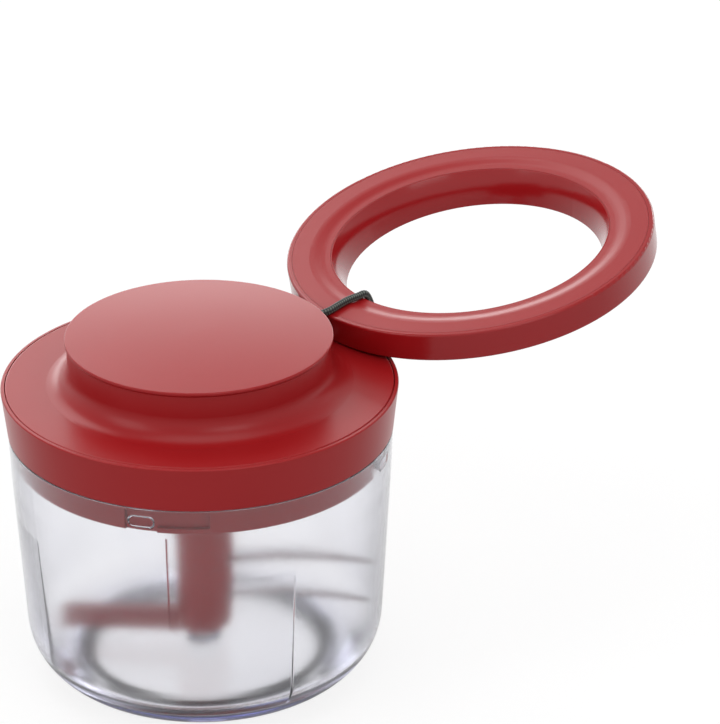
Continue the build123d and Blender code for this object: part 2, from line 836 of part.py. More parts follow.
def handle_ring():
    """Glossy channel of the handle: outer wall, inner wall and floor, solid only over the cord's notch."""
    panel_radius = handle_radius - handle_lip_width
    ledge_out = panel_radius - handle_outer_ledge
    seam = handle_inner_top_radius + handle_inner_lip
    ledge_in = seam + handle_ledge
    ledge_in_drop = -handle_inner_top_drop - cap_thickness + cap_gap
    step = ledge_in_drop - handle_inner_lip
    inner_foot = (handle_inner_radius, handle_under(handle_inner_radius))
    inner_top = (handle_inner_top_radius, -handle_inner_top_drop)
    bulge_point = (
        (inner_foot[0] + inner_top[0]) / 2 - handle_inner_bulge,
        (inner_foot[1] + inner_top[1]) / 2,
    )
    profile = [
        inner_top,
        (seam, inner_top[1]),
        (seam, ledge_in_drop),
        (ledge_in, ledge_in_drop),
        (ledge_in, step),
        (ledge_out, -cap_thickness - handle_inner_lip),
        (ledge_out, -cap_thickness),
        (panel_radius, -cap_thickness),
        (panel_radius, 0),
        (handle_radius, 0),
        (handle_radius, -handle_side_height),
        inner_foot,
    ]
    edges = [Line(a, b) for a, b in zip(profile, profile[1:])]
    face = make_face(edges + [ThreePointArc(inner_foot, bulge_point, inner_top)])
    for place, radius in (
        ((handle_radius, 0), handle_lip_round),
        ((handle_radius, -handle_side_height), handle_foot_round),
        (inner_foot, handle_inner_foot_round),
    ):
        corner = min(face.vertices(), key=lambda v: (v.X - place[0]) ** 2 + (v.Y - place[1]) ** 2)
        face = fillet(corner, radius)
    whole = turned(face)
    channel_low_out = handle_under(ledge_out) + handle_floor
    channel_low_in = handle_under(ledge_in) + handle_floor
    channel = turned(
        outline([(ledge_in, 0), (ledge_out, 0), (ledge_out, channel_low_out), (ledge_in, channel_low_in)])
    )
    width = 2 * handle_bridge_half_width
    bridge = Pos(-handle_radius, 0, -handle_radius / 2) * Box(handle_radius, width, handle_radius)
    body = whole - (channel - bridge)
    room = turned(
        outline(
            [
                (ledge_in - overrun, step),
                (ledge_out + overrun, step),
                (ledge_out + overrun, handle_under(ledge_out + overrun)),
                (ledge_in - overrun, handle_under(ledge_in - overrun)),
            ]
        )
    )
    for boss in around(cap_post_count, cap_post_first_angle, Pos(cap_post_circle, 0, 0) * handle_screw_boss()):
        body += boss & room
    for hole in around(cap_post_count, cap_post_first_angle, Pos(cap_post_circle, 0, 0) * handle_screw_hole()):
        body -= hole
    return placed(body) - loop_notch()


def handle_screw_floor():
    """Depth of the seat of the handle's screw heads."""
    return handle_under(cap_post_circle) + handle_screw_sink


def handle_screw_boss():
    low = handle_under(cap_post_circle) - overrun
    return disc(handle_screw_boss_radius, low, handle_screw_floor() + handle_screw_boss_height)


def handle_screw_hole():
    low = handle_under(cap_post_circle) - overrun
    seat = handle_screw_floor()
    wide = disc(handle_screw_head_radius + screw_play, low, seat)
    return wide + disc(handle_screw_radius + screw_play, low, seat + handle_screw_boss_height + overrun)


def handle_screws():
    seat = handle_screw_floor()
    top = seat + handle_screw_boss_height + cap_post_length / 2
    one = disc(handle_screw_head_radius, seat - handle_screw_radius, seat) + disc(handle_screw_radius, seat, top)
    group = around(cap_post_count, cap_post_first_angle, Pos(cap_post_circle, 0, 0) * one)
    return Compound([placed(screw_piece) for screw_piece in group])


def handle_cap():
    """Matte panel that closes the channel, with a soft step down to its inner edge."""
    outer = handle_radius - handle_lip_width - cap_gap
    inner = handle_inner_top_radius + handle_inner_lip + cap_gap
    last = -handle_inner_top_drop + cap_gap
    start = (cap_step_start_radius, 0)
    end = (cap_step_end_radius, -cap_step_drop)
    lower_start = (cap_step_start_radius, -cap_thickness)
    lower_end = (cap_step_end_radius, -cap_step_drop - cap_thickness)
    points = [
        (outer, 0),
        start,
        end,
        (inner, last),
        (inner, last - cap_thickness),
        lower_end,
        lower_start,
        (outer, -cap_thickness),
    ]
    rounds = [(place, cap_step_round) for place in (start, end, lower_start, lower_end)]
    body = turned(outline(points, rounds))
    top_of_boss = handle_screw_floor() + handle_screw_boss_height
    post = disc(cap_post_radius, top_of_boss, -cap_thickness / 2 - cap_step_drop / 2)
    post -= disc(handle_screw_radius, top_of_boss - overrun, top_of_boss + cap_post_length / 2 + screw_play)
    body += around(cap_post_count, cap_post_first_angle, Pos(cap_post_circle, 0, 0) * post)
    return placed(body)


def handle_point(radius, depth):
    """Place in the plane of X and Z of a point on the handle's near side."""
    tilt = radians(handle_tilt)
    x = handle_distance - radius * cos(tilt) - depth * sin(tilt)
    return x, handle_height - radius * sin(tilt) + depth * cos(tilt)


def loop_route():
    """Corners of the cord's loop round the handle, in X and Z, from above the knot to below it."""
    over = cord_radius + cord_gap
    top = handle_point(cap_step_start_radius, over)
    edge = handle_point(handle_inner_top_radius - over, over - handle_inner_top_drop)
    middle_depth = (handle_under(handle_inner_radius) - handle_inner_top_drop) / 2
    middle_radius = (handle_inner_radius + handle_inner_top_radius) / 2 - handle_inner_bulge
    beside = handle_point(middle_radius - over - cord_gap, middle_depth)
    under = handle_point(handle_radius, -handle_side_height)[1] + loop_under_gap - cord_gap
    inner = handle_point(handle_inner_radius - loop_inner_gap, handle_under(handle_inner_radius))[0]
    outer = handle_point(handle_radius, -handle_side_height)[0] - over
    clear = knot_radius + cord_radius / 2 + loop_start_gap
    slope = radians(handle_tilt)
    start_x = knot_reach + clear * cos(slope) - cord_radius / 2
    start = (start_x, top[1] - (top[0] - start_x) * tan(slope))
    last = (knot_reach + cord_radius, cord_level - clear - cord_gap)
    return [start, top, edge, beside, (inner, under), (outer, under), last]


def loop_notch():
    """Notch under the handle's near side, which the cord's loop lies in."""
    route = loop_route()
    high = route[4][1] + cord_radius + loop_notch_play
    half = cord_radius + loop_notch_play
    low = high - 2 * handle_side_height
    long = route[4][0] - knot_reach
    return Pos(knot_reach + long / 2, 0, (low + high) / 2) * Box(long, 2 * half, high - low)


def cord_loop():
    """The cord's loop round the handle."""
    path = Plane.XZ * FilletPolyline(*loop_route(), radius=loop_bend_radius)
    return sweep(Plane(origin=path @ 0, z_dir=path % 0) * Circle(cord_radius), path=path)


def cord_knot():
    """The knot that closes the loop and stops the cord at the eyelet."""
    return Pos(knot_reach, 0, cord_level) * Sphere(knot_radius)


pieces = {
    "bowl": bowl,
    "foot_ring": foot_ring,
    "centre_pin": centre_pin,
    "lid_base": lid_base,
    "lid_seal": lid_seal,
    "top_cover": top_cover,
    "cover_screws": cover_screws,
    "carrier_plate": carrier_plate,
    "carrier_screws": carrier_screws,
    "reel_axle": reel_axle,
    "axle_clip": axle_clip,
    "guide_post": guide_post,
    "cord_eyelet": cord_eyelet,
    "lead_cord": lead_cord,
    "cord_reel": cord_reel,
    "reel_flange": reel_flange,
    "reel_bush": reel_bush,
    "wound_cord": wound_cord,
    "coil_spring": coil_spring,
    "pawl_pins": pawl_pins,
    "pawl_springs": pawl_springs,
    "front_pawl": front_pawl,
    "rear_pawl": rear_pawl,
    "drive_shaft": drive_shaft,
    "drive_clip": drive_clip,
    "ratchet_ring": ratchet_ring,
    "blade_column": blade_column,
    "column_bush": column_bush,
    "upper_blade": upper_blade,
    "lower_blade": lower_blade,
    "mixing_arm": mixing_arm,
    "cord_knot": cord_knot,
    "cord_loop": cord_loop,
    "handle_ring": handle_ring,
    "handle_cap": handle_cap,
    "handle_screws": handle_screws,
}

os.makedirs("parts", exist_ok=True)
for name, make in pieces.items():
    shape = make()
    export_step(shape, f"parts/{name}.step")
    print(name, len(shape.solids()), round(shape.volume, 1))
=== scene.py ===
# %% [markdown]
# # A pull cord food chopper
# A clear bowl stands on a table. Its red lid holds a reel of cord, and pulling the ring handle spins the
# blade column inside the bowl. The engineering model gives the sizes. This script adds what the eye sees:
# clear plastic that is frosted inside, satin red mouldings, a braided cord, ground blades and screws.

# %% Tools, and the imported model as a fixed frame
import json

from math import cos, pi, radians, sin

import bpy
import numpy as np
from mathutils import Matrix, Vector


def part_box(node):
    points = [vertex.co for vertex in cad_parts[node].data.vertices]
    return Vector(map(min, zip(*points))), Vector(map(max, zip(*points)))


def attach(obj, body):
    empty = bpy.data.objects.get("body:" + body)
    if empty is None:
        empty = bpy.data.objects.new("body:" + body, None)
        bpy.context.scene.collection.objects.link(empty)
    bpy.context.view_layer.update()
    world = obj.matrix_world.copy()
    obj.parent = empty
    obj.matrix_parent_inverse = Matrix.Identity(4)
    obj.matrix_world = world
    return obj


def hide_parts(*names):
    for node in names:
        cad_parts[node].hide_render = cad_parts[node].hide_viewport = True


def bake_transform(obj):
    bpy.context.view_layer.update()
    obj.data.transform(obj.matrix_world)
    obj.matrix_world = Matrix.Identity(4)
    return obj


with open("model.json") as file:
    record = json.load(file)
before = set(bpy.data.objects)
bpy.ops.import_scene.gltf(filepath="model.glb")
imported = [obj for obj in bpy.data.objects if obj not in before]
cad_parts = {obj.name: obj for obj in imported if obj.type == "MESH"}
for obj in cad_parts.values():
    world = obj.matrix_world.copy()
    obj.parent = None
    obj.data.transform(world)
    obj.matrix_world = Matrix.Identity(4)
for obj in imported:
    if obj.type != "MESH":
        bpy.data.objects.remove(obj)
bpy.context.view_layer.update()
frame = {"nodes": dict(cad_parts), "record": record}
nodes = frame["nodes"]
mm = 0.001

# %% [markdown]
# Heights and radii are read off the frame, so that a new piece always meets its neighbours.
# The table is at z = 0 and the bowl's axis is the Z axis.

# %% Levels that the pieces share
bowl_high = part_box("bowl")[1]
rim_height = bowl_high.z
rim_radius = bowl_high.x
knot_low, knot_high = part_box("cord_knot")
knot_centre = np.array((knot_low + knot_high) / 2)
print(f"rim at {rim_height / mm:.1f} mm, knot at {knot_centre[0] / mm:.1f} mm")

# %% [markdown]
# ## Camera
# The camera stands about 1.4 m away and looks down at the lid, and the cord leaves to its right. Its
# distance and height angle are measured from a point on the bowl's axis, just above the rim. A long lens
# keeps the bowl's sides nearly parallel. A Track To constraint could aim it, but three angles also set its
# roll.

# %% Camera
camera_distance = 1.3965
camera_side = radians(-34.2)
camera_lift = radians(26.376)
camera_turn = radians(-36.85)
camera_dip = radians(-25.521)
camera_roll = radians(-0.2616)
aim_above_rim = 0.4 * mm
camera_data = bpy.data.cameras.new("camera")
camera_data.lens = 191.15
camera_data.sensor_width = 36
camera = bpy.data.objects.new("camera", camera_data)
bpy.context.scene.collection.objects.link(camera)
across, up_down = sin(camera_side) * cos(camera_lift), -cos(camera_side) * cos(camera_lift)
facing = Matrix.Rotation(camera_turn, 3, "Z") @ Matrix.Rotation(pi / 2 + camera_dip, 3, "X")
camera.matrix_world = (facing @ Matrix.Rotation(camera_roll, 3, "Z")).to_4x4()
camera.location = Vector((across, up_down, sin(camera_lift))) * camera_distance
camera.location.z += rim_height + aim_above_rim
bpy.context.scene.camera = camera
bpy.context.scene.view_settings.view_transform = "Standard"
print("camera at", [round(v, 3) for v in camera.location])

# %% [markdown]
# ## Shader nodes
# Every material and the world are small trees of nodes. They could be wired in the shader editor, but a
# script can be read and run again. One helper adds a node, sets its options and fills its inputs, either
# with plain values or with another node's output.


# %% The one node helper, and colours
def add(tree, kind, inputs=None, **settings):
    """One node with its settings. inputs maps an input's name or number to a socket or a plain value."""
    node = tree.nodes.new(kind)
    for name, value in settings.items():
        setattr(node, name, value)
    for name, value in (inputs or {}).items():
        if isinstance(value, bpy.types.NodeSocket):
            tree.links.new(value, node.inputs[name])
        else:
            node.inputs[name].default_value = value
    return node


def linear(code):
    """A screen colour such as 971316 as linear red, green, blue and alpha, which the renderer counts in. Very
    dark channels are divided by 12.92, and the others follow a power of 2.4."""
    channels = [int(code[i : i + 2], 16) / 255 for i in (0, 2, 4)]
    return tuple(c / 12.92 if c <= 0.04045 else ((c + 0.055) / 1.055) ** 2.4 for c in channels) + (1.0,)


def blank_material(name):
    """A material and its node tree, which is empty."""
    made = bpy.data.materials.new(name)
    made.use_nodes = True
    made.node_tree.nodes.clear()
    return made, made.node_tree


print("mid grey is", round(linear("808080")[0], 3))

# %% [markdown]
# ## Light
# Product pictures are lit by large soft boxes in a white room. An even white world does most of the work.
# A box high behind the bowl gives the ring and the shoulder their soft sheen, and a long low one behind
# brightens the disc. Weaker ones at the left, in front and above draw light edges. A picture of a studio
# could light it too, but lamps can be moved one at a time. Rays that look at the room, from the camera, from
# a reflection or through clear plastic, see a brighter white that dims overhead.

# %% White room
room_light = 0.68
ceiling_white = 0.35
ceiling_from = 0.25
world = bpy.data.worlds.new("white_room")
bpy.context.scene.world = world
world.use_nodes = True
tree = world.node_tree
tree.nodes.clear()
path = add(tree, "ShaderNodeLightPath").outputs
pair = {0: path["Is Camera Ray"], 1: path["Is Glossy Ray"]}
looks = add(tree, "ShaderNodeMath", pair, operation="MAXIMUM")
pair = {0: looks.outputs[0], 1: path["Is Transmission Ray"]}
looks = add(tree, "ShaderNodeMath", pair, operation="MAXIMUM")
way = add(tree, "ShaderNodeTexCoord").outputs["Generated"]
height = add(tree, "ShaderNodeSeparateXYZ", {0: way}).outputs["Z"]
ramp = {"Value": height, "From Min": ceiling_from, "From Max": 1.0, "To Min": 1.0, "To Max": ceiling_white}
white = add(tree, "ShaderNodeMapRange", ramp).outputs[0]
seen = add(tree, "ShaderNodeBackground", {"Color": (1, 1, 1, 1), "Strength": white})
falling = add(tree, "ShaderNodeBackground", {"Color": (1, 1, 1, 1), "Strength": room_light})
room = add(tree, "ShaderNodeMixShader", {0: looks.outputs[0], 1: falling.outputs[0], 2: seen.outputs[0]})
add(tree, "ShaderNodeOutputWorld", {"Surface": room.outputs[0]})
print("room light", room_light)

# %% Soft boxes
lamp_target = Vector((0.04, 0.0, 0.11))


def soft_box(name, around, above, distance, width, height, brightness):
    """A rectangular lamp that faces the object. Its power is its brightness times pi times its area."""
    data = bpy.data.lights.new(name, "AREA")
    data.shape = "RECTANGLE"
    data.size = width
    data.size_y = height
    data.energy = brightness * pi * width * height
    lamp = bpy.data.objects.new(name, data)
    bpy.context.scene.collection.objects.link(lamp)
    a, e = radians(around), radians(above)
    out = Vector((cos(a) * cos(e), sin(a) * cos(e), sin(e)))
    lamp.location = lamp_target + out * distance
    lamp.rotation_euler = out.to_track_quat("Z", "Y").to_euler()
    lamp.visible_camera = False


# Degrees round the bowl and above the table, then metres away, wide and high, then brightness
soft_box("box_back_left", 84, 43, 1.7, 1.0, 0.8, 2.6)
soft_box("box_low_behind", 52, 12.5, 2.2, 2.7, 0.6, 3.6)
soft_box("box_left", 172, 30, 1.8, 0.8, 1.0, 1.8)
soft_box("box_front", -100, 35, 1.9, 1.0, 0.7, 1.9)
soft_box("box_above", -120, 82, 1.6, 1.2, 1.2, 1.4)
print("lamps:", len(bpy.data.lights))

# %% [markdown]
# ## Plastics
# Each finish starts from how its surface was made. A satin moulding takes its fine, even texture from a
# spark-eroded mould, so its reflections are wide and soft. A polished mould gives sharp reflections. Rubber
# and silicone are dull because their moulds are left rough. Photographed textures would repeat and need
# unwrapping, so all are one recipe in noise: a colour that drifts a little, and a grain that moves the gloss
# and raises the surface by 0.002 to 0.03 mm.


# %% One recipe for moulded plastics and rubbers
colour_drift = 30 * mm
light_depth = 2 * mm


def moulding(name, dark, light, grain, relief, rough, **sockets):
    """Coloured moulding. Wide noise mixes its two colours, and fine noise sets its roughness, between the two
    values of rough, and its bumps. grain and relief are in metres."""
    made, tree = blank_material(name)
    spot = add(tree, "ShaderNodeTexCoord").outputs["Object"]
    cloud = add(tree, "ShaderNodeTexNoise", {"Vector": spot, "Scale": 1 / colour_drift, "Detail": 2.0})
    grains = {"Vector": spot, "Scale": 1 / grain, "Detail": 2.0, "Roughness": 0.6}
    fine = add(tree, "ShaderNodeTexNoise", grains)
    tint = {0: cloud.outputs[0], 6: linear(dark), 7: linear(light)}
    colour = add(tree, "ShaderNodeMix", tint, data_type="RGBA")
    span = {"Value": fine.outputs[0], "To Min": rough[0], "To Max": rough[1]}
    gloss = add(tree, "ShaderNodeMapRange", span)
    raised = add(tree, "ShaderNodeBump", {"Height": fine.outputs[0], "Distance": relief})
    look = {"Base Color": colour.outputs[2], "Roughness": gloss.outputs[0], "Normal": raised.outputs[0]}
    look.update({key.replace("_", " "): value for key, value in sockets.items()})
    shader = add(tree, "ShaderNodeBsdfPrincipled", look)
    add(tree, "ShaderNodeOutputMaterial", {"Surface": shader.outputs[0]})
    return made


print(f"colours drift over {colour_drift / mm:.0f} mm")

# %% The five mouldings
# ABS with a spark-eroded texture: grains of 0.35 mm and a wide, soft sheen
satin_red = moulding(
    "satin_red_abs", "951316", "9A1519", 0.35 * mm, 0.006 * mm, (0.27, 0.36), Specular_IOR_Level=0.3
)
# ABS from a polished mould: sharp reflections with a faint ripple
gloss_red = moulding(
    "polished_red_abs", "931216", "981418", 0.6 * mm, 0.002 * mm, (0.14, 0.20), Specular_IOR_Level=0.4
)
# Thermoplastic rubber: grey, dull, with grains of half a millimetre
foot_grey = moulding("moulded_grey_rubber", "525256", "626266", 0.5 * mm, 0.03 * mm, (0.62, 0.80))
# Silicone: pale and slightly see-through, so light spreads inside it
pale_silicone = moulding(
    "moulded_pale_silicone",
    "D2CFCF",
    "DCD9D8",
    0.8 * mm,
    0.01 * mm,
    (0.42, 0.55),
    IOR=1.42,
    Subsurface_Weight=0.2,
)
# Acetal, the waxy white plastic of gears and reels
acetal = moulding(
    "moulded_white_acetal",
    "E4E3DC",
    "EDECE6",
    0.5 * mm,
    0.01 * mm,
    (0.38, 0.50),
    IOR=1.48,
    Subsurface_Weight=0.15,
)
for made in (pale_silicone, acetal):
    made.node_tree.nodes["Principled BSDF"].inputs["Subsurface Scale"].default_value = light_depth
print("materials so far:", len(bpy.data.materials))

# %% [markdown]
# ## Metals
# Turned and drawn metal carries fine lines across or along it, which stretch its reflections. The lines are
# noise squeezed in one direction. The shader's own anisotropy could stretch the reflections too, but noise
# also varies the colour and the gloss from line to line. Real lines are too fine to show at this distance,
# so these are drawn much coarser.


# %% One recipe for metals with fine lines
line_relief = 0.004 * mm


def lined_metal(name, dark, light, spacing, squeeze, turn, rough):
    """Metal with lines. One noise, scaled on each axis by squeeze after a turn in degrees about Z, mixes its
    two colours and sets its roughness and its bumps."""
    made, tree = blank_material(name)
    spot = add(tree, "ShaderNodeTexCoord").outputs["Object"]
    place = {"Vector": spot, "Rotation": (0, 0, radians(turn)), "Scale": squeeze}
    along = add(tree, "ShaderNodeMapping", place).outputs[0]
    fine = {"Vector": along, "Scale": 1 / spacing, "Detail": 3.0, "Roughness": 0.6}
    lines = add(tree, "ShaderNodeTexNoise", fine)
    tint = {0: lines.outputs[0], 6: linear(dark), 7: linear(light)}
    colour = add(tree, "ShaderNodeMix", tint, data_type="RGBA")
    span = {"Value": lines.outputs[0], "To Min": rough[0], "To Max": rough[1]}
    gloss = add(tree, "ShaderNodeMapRange", span)
    raised = add(tree, "ShaderNodeBump", {"Height": lines.outputs[0], "Distance": line_relief})
    look = {"Base Color": colour.outputs[2], "Roughness": gloss.outputs[0], "Normal": raised.outputs[0]}
    shader = add(tree, "ShaderNodeBsdfPrincipled", {**look, "Metallic": 1.0})
    add(tree, "ShaderNodeOutputMaterial", {"Surface": shader.outputs[0]})
    return made


print(f"lines are raised by {line_relief / mm:.3f} mm")

# %% The four metals
# Screws, pins and clips are turned stainless steel, with lines round their axis
turned_steel = lined_metal(
    "turned_stainless_steel", "B9BABD", "D2D3D6", 1.2 * mm, (1, 1, 14), 0, (0.22, 0.36)
)
# The bushes are turned brass
turned_brass = lined_metal("turned_brass", "C2A05C", "D9B871", 1.2 * mm, (1, 1, 14), 0, (0.24, 0.38))
# Springs are steel that was blued by tempering
blued_steel = lined_metal("blued_spring_steel", "4B505C", "6E7480", 1.0 * mm, (1, 1, 8), 0, (0.30, 0.45))
# The blades lie at about -43 degrees, and their grinding lines run along them
ground_steel = lined_metal(
    "ground_blade_steel", "BDBFC3", "DADBDE", 0.35 * mm, (0.03, 1, 1), 43, (0.20, 0.34)
)
print("materials so far:", len(bpy.data.materials))

# %% [markdown]
# ## Clear plastic
# The bowl is one clear moulding, polished outside and finely frosted inside. Light has to enter and leave
# it through one and the same material, or the tint inside it never ends, so a point attribute called frost
# says where the surface is frosted. The tint only shows where the eye looks along the wall, as at the foot.

# %% Clear plastic of the bowl
frost_grain = 0.7 * mm
frost_relief = 0.004 * mm
frost_rough = (0.17, 0.23)
polish_size = 18 * mm
polish_rough = (0.02, 0.05)
tint_density = 18.0
clear_plastic, tree = blank_material("clear_styrene_frosted_inside")
frost = add(tree, "ShaderNodeAttribute", attribute_name="frost").outputs["Fac"]
spot = add(tree, "ShaderNodeTexCoord").outputs["Object"]
fine = {"Vector": spot, "Scale": 1 / frost_grain, "Detail": 2.0, "Roughness": 0.6}
grain = add(tree, "ShaderNodeTexNoise", fine)
span = {"Value": grain.outputs[0], "To Min": frost_rough[0], "To Max": frost_rough[1]}
inside = add(tree, "ShaderNodeMapRange", span).outputs[0]
polish = add(tree, "ShaderNodeTexNoise", {"Vector": spot, "Scale": 1 / polish_size, "Detail": 1.0})
span = {"Value": polish.outputs[0], "To Min": polish_rough[0], "To Max": polish_rough[1]}
outside = add(tree, "ShaderNodeMapRange", span).outputs[0]
frosting = add(tree, "ShaderNodeMath", {0: frost, 1: inside}, operation="MULTIPLY").outputs[0]
rough = add(tree, "ShaderNodeMath", {0: frosting, 1: outside}, operation="MAXIMUM").outputs[0]
relief = {"Height": grain.outputs[0], "Distance": frost_relief, "Strength": frost}
raised = add(tree, "ShaderNodeBump", relief)
look = {"Roughness": rough, "Normal": raised.outputs[0], "IOR": 1.5, "Transmission Weight": 1.0}
shader = add(tree, "ShaderNodeBsdfPrincipled", {**look, "Base Color": (1, 1, 1, 1)})
tint = add(tree, "ShaderNodeVolumeAbsorption", {"Color": linear("6670CC"), "Density": tint_density})
add(tree, "ShaderNodeOutputMaterial", {"Surface": shader.outputs[0], "Volume": tint.outputs[0]})
print("clear plastic ready")

# %% [markdown]
# ## Cord and paper
# The cord is braided from polyester yarns: one set nearly black and one grey green. The braid's mesh carries
# an attribute called yarn, near 0 on a dark yarn and up to 1 on the crown of a light one. From each crown it
# falls towards the dips where the yarns pass under each other, so the braid's colour holds painted highlight
# and painted shade as well as its two yarn colours. The table is white paper. Rays that look at it straight
# see mostly its own even white, so the shadow on it stays light. In reflections its glow is painted bright
# behind the object and dim in front, as paper lit from behind is.

# %% Braided cord
# Single fibres are 0.02 mm thick, drawn as 0.12 mm so that they show
fibre_size = 0.12 * mm
fibre_relief = 0.02 * mm
braided_cord, tree = blank_material("braided_polyester_cord")
yarn = add(tree, "ShaderNodeAttribute", attribute_name="yarn").outputs["Fac"]
spot = add(tree, "ShaderNodeTexCoord").outputs["Object"]
fibre = add(tree, "ShaderNodeTexNoise", {"Vector": spot, "Scale": 1 / fibre_size, "Detail": 2.0})
# The attribute gives the yarns' two colours, plus painted highlight on each light crown and painted shade in
# the dips
colour = add(tree, "ShaderNodeMix", {0: yarn, 6: linear("0B0E0D"), 7: linear("6E766E")}, data_type="RGBA")
gloss = add(tree, "ShaderNodeMapRange", {"Value": fibre.outputs[0], "To Min": 0.40, "To Max": 0.65})
raised = add(tree, "ShaderNodeBump", {"Height": fibre.outputs[0], "Distance": fibre_relief})
look = {"Base Color": colour.outputs[2], "Roughness": gloss.outputs[0], "Normal": raised.outputs[0]}
shader = add(tree, "ShaderNodeBsdfPrincipled", {**look, "Sheen Weight": 0.06, "Sheen Roughness": 0.4})
add(tree, "ShaderNodeOutputMaterial", {"Surface": shader.outputs[0]})
print("cord's finish ready")

# %% White paper sweep
paper_own_white = 1.16
paper_seen_share = 0.72
lit_side = radians(56)
paper_mirror_front = 0.15
paper_mirror_back = 0.85
mirror_from, mirror_to = -20 * mm, 180 * mm
paper_fleck = 3 * mm
white_paper, tree = blank_material("white_paper_sweep")
path = add(tree, "ShaderNodeLightPath").outputs
pair = {0: path["Is Camera Ray"], 1: path["Is Transmission Ray"]}
straight = add(tree, "ShaderNodeMath", pair, operation="MAXIMUM")
pair = {0: straight.outputs[0], 1: paper_seen_share}
straight = add(tree, "ShaderNodeMath", pair, operation="MULTIPLY")
spot = add(tree, "ShaderNodeTexCoord").outputs["Object"]
# In reflections the paper's glow is painted brighter behind the object than in front: painted light from
# behind
pair = {0: spot, 1: (cos(lit_side), sin(lit_side), 0)}
behind = add(tree, "ShaderNodeVectorMath", pair, operation="DOT_PRODUCT")
ends = {"Value": behind.outputs["Value"], "From Min": mirror_from, "From Max": mirror_to}
ends.update({"To Min": paper_mirror_front, "To Max": paper_mirror_back})
mirror = add(tree, "ShaderNodeMapRange", ends).outputs[0]
mirrored = add(tree, "ShaderNodeMath", {0: path["Is Glossy Ray"], 1: mirror}, operation="MULTIPLY")
share = add(tree, "ShaderNodeMath", {0: straight.outputs[0], 1: mirrored.outputs[0]}, operation="MAXIMUM")
fleck = add(tree, "ShaderNodeTexNoise", {"Vector": spot, "Scale": 1 / paper_fleck, "Detail": 2.0})
tint = {0: fleck.outputs[0], 6: linear("C9C9C9"), 7: linear("CDCDCD")}
colour = add(tree, "ShaderNodeMix", tint, data_type="RGBA")
paper = add(tree, "ShaderNodeBsdfDiffuse", {"Color": colour.outputs[2], "Roughness": 0.5})
glow = add(tree, "ShaderNodeEmission", {"Color": (1, 1, 1, 1), "Strength": paper_own_white})
mixed = add(tree, "ShaderNodeMixShader", {0: share.outputs[0], 1: paper.outputs[0], 2: glow.outputs[0]})
add(tree, "ShaderNodeOutputMaterial", {"Surface": mixed.outputs[0]})
print("materials so far:", len(bpy.data.materials))

# %% [markdown]
# ## Dressing the model's own pieces
# Each piece of the model names a material slot. Its finish could be set piece by piece, but one table ties
# each slot to a finish, and it serves the pieces drawn below as well.

# %% Finishes for the pieces that come from the model as they are
finish = {
    "red_plastic": satin_red,
    "red_gloss_plastic": gloss_red,
    "clear_plastic": clear_plastic,
    "foot_rubber": foot_grey,
    "seal_rubber": pale_silicone,
    "steel": turned_steel,
    "brass_bush": turned_brass,
    "spring_steel": blued_steel,
    "white_plastic": acetal,
    "blade_steel": ground_steel,
    "black_cord": braided_cord,
}
slot_of = {part["node"]: part["material_slot"] for part in frame["record"]["subparts"]}
for name, node in nodes.items():
    node.data.materials.clear()
    node.data.materials.append(finish[slot_of[name]])
print("dressed", len(nodes), "model pieces")

# %% [markdown]
# ## Surfaces from grids
# Most pieces here were turned, moulded or swept, so each is a grid: one direction runs along the piece and
# the other round it. A Screw modifier could turn a profile too, but on a grid a formula can shape the piece
# in both directions. The whole grid is worked out at once as an array and handed to the mesh. Where a piece
# ends, a fan of triangles round one middle point closes it.


# %% A mesh from a grid
def skin(name, grid, closed="round", flip=False, smooth=True):
    """Mesh of a grid whose columns run round it. "round" closes its ends with fans, "ring" joins them, and
    flip turns the faces over."""
    rows, columns = grid.shape[:2]
    last = rows if closed == "ring" else rows - 1
    i, j = np.meshgrid(np.arange(last), np.arange(columns), indexing="ij")
    down, right = (i + 1) % rows, (j + 1) % columns
    quads = np.stack([i * columns + j, down * columns + j, down * columns + right, i * columns + right], -1)
    order = -1 if flip else 1
    faces = quads.reshape(-1, 4)[:, ::order].tolist()
    points = grid.reshape(-1, 3)
    if closed == "round":
        here = np.arange(columns)
        after = (here + 1) % columns
        end = (rows - 1) * columns
        first = np.full(columns, len(points))
        faces += np.stack([here, after, first], 1)[:, ::order].tolist()
        faces += np.stack([end + after, end + here, first + 1], 1)[:, ::order].tolist()
        points = np.concatenate([points, grid[[0, -1]].mean(1)])
    mesh = bpy.data.meshes.new(name)
    mesh.from_pydata(points, [], faces)
    mesh.polygons.foreach_set("use_smooth", np.full(len(mesh.polygons), smooth))
    mesh.update()
    made = bpy.data.objects.new(name, mesh)
    bpy.context.scene.collection.objects.link(made)
    return made


print("grid helper ready")


# %% Profiles to turn
def rounded_profile(corners, steps=6):
    """Points of an outline (radius, height, round) whose corners are arcs that touch both sides. An arc's
    centre is on the line that halves its corner, at its radius divided by the sine of half the angle."""
    corners = [np.array(c, float) for c in corners]
    out = [corners[0][None, :2]]
    for before, corner, after in zip(corners, corners[1:], corners[2:]):
        place, size = corner[:2], corner[2]
        back = (before[:2] - place) / np.linalg.norm(before[:2] - place)
        ahead = (after[:2] - place) / np.linalg.norm(after[:2] - place)
        half = np.arccos(np.clip(back @ ahead, -1, 1)) / 2
        middle = (back + ahead) / np.linalg.norm(back + ahead) if size else back
        centre = place + middle * size / np.sin(half)
        start = place + back * size / np.tan(half) - centre
        end = place + ahead * size / np.tan(half) - centre
        turn = np.arctan2(start[0] * end[1] - start[1] * end[0], start @ end)
        t = np.linspace(0, turn, steps + 1 if size else 1)[:, None]
        out.append(centre + np.cos(t) * start + np.sin(t) * np.array([-start[1], start[0]]))
    return np.concatenate(out + [corners[-1][None, :2]])


def spread(profile, longest):
    """The same profile with points added so that no step is longer than longest."""
    runs = []
    for a, b in zip(profile[:-1], profile[1:]):
        count = max(1, int(np.ceil(np.linalg.norm(b - a) / longest)))
        runs.append(a + (b - a) * (np.arange(count) / count)[:, None])
    return np.concatenate(runs + [profile[-1:]])


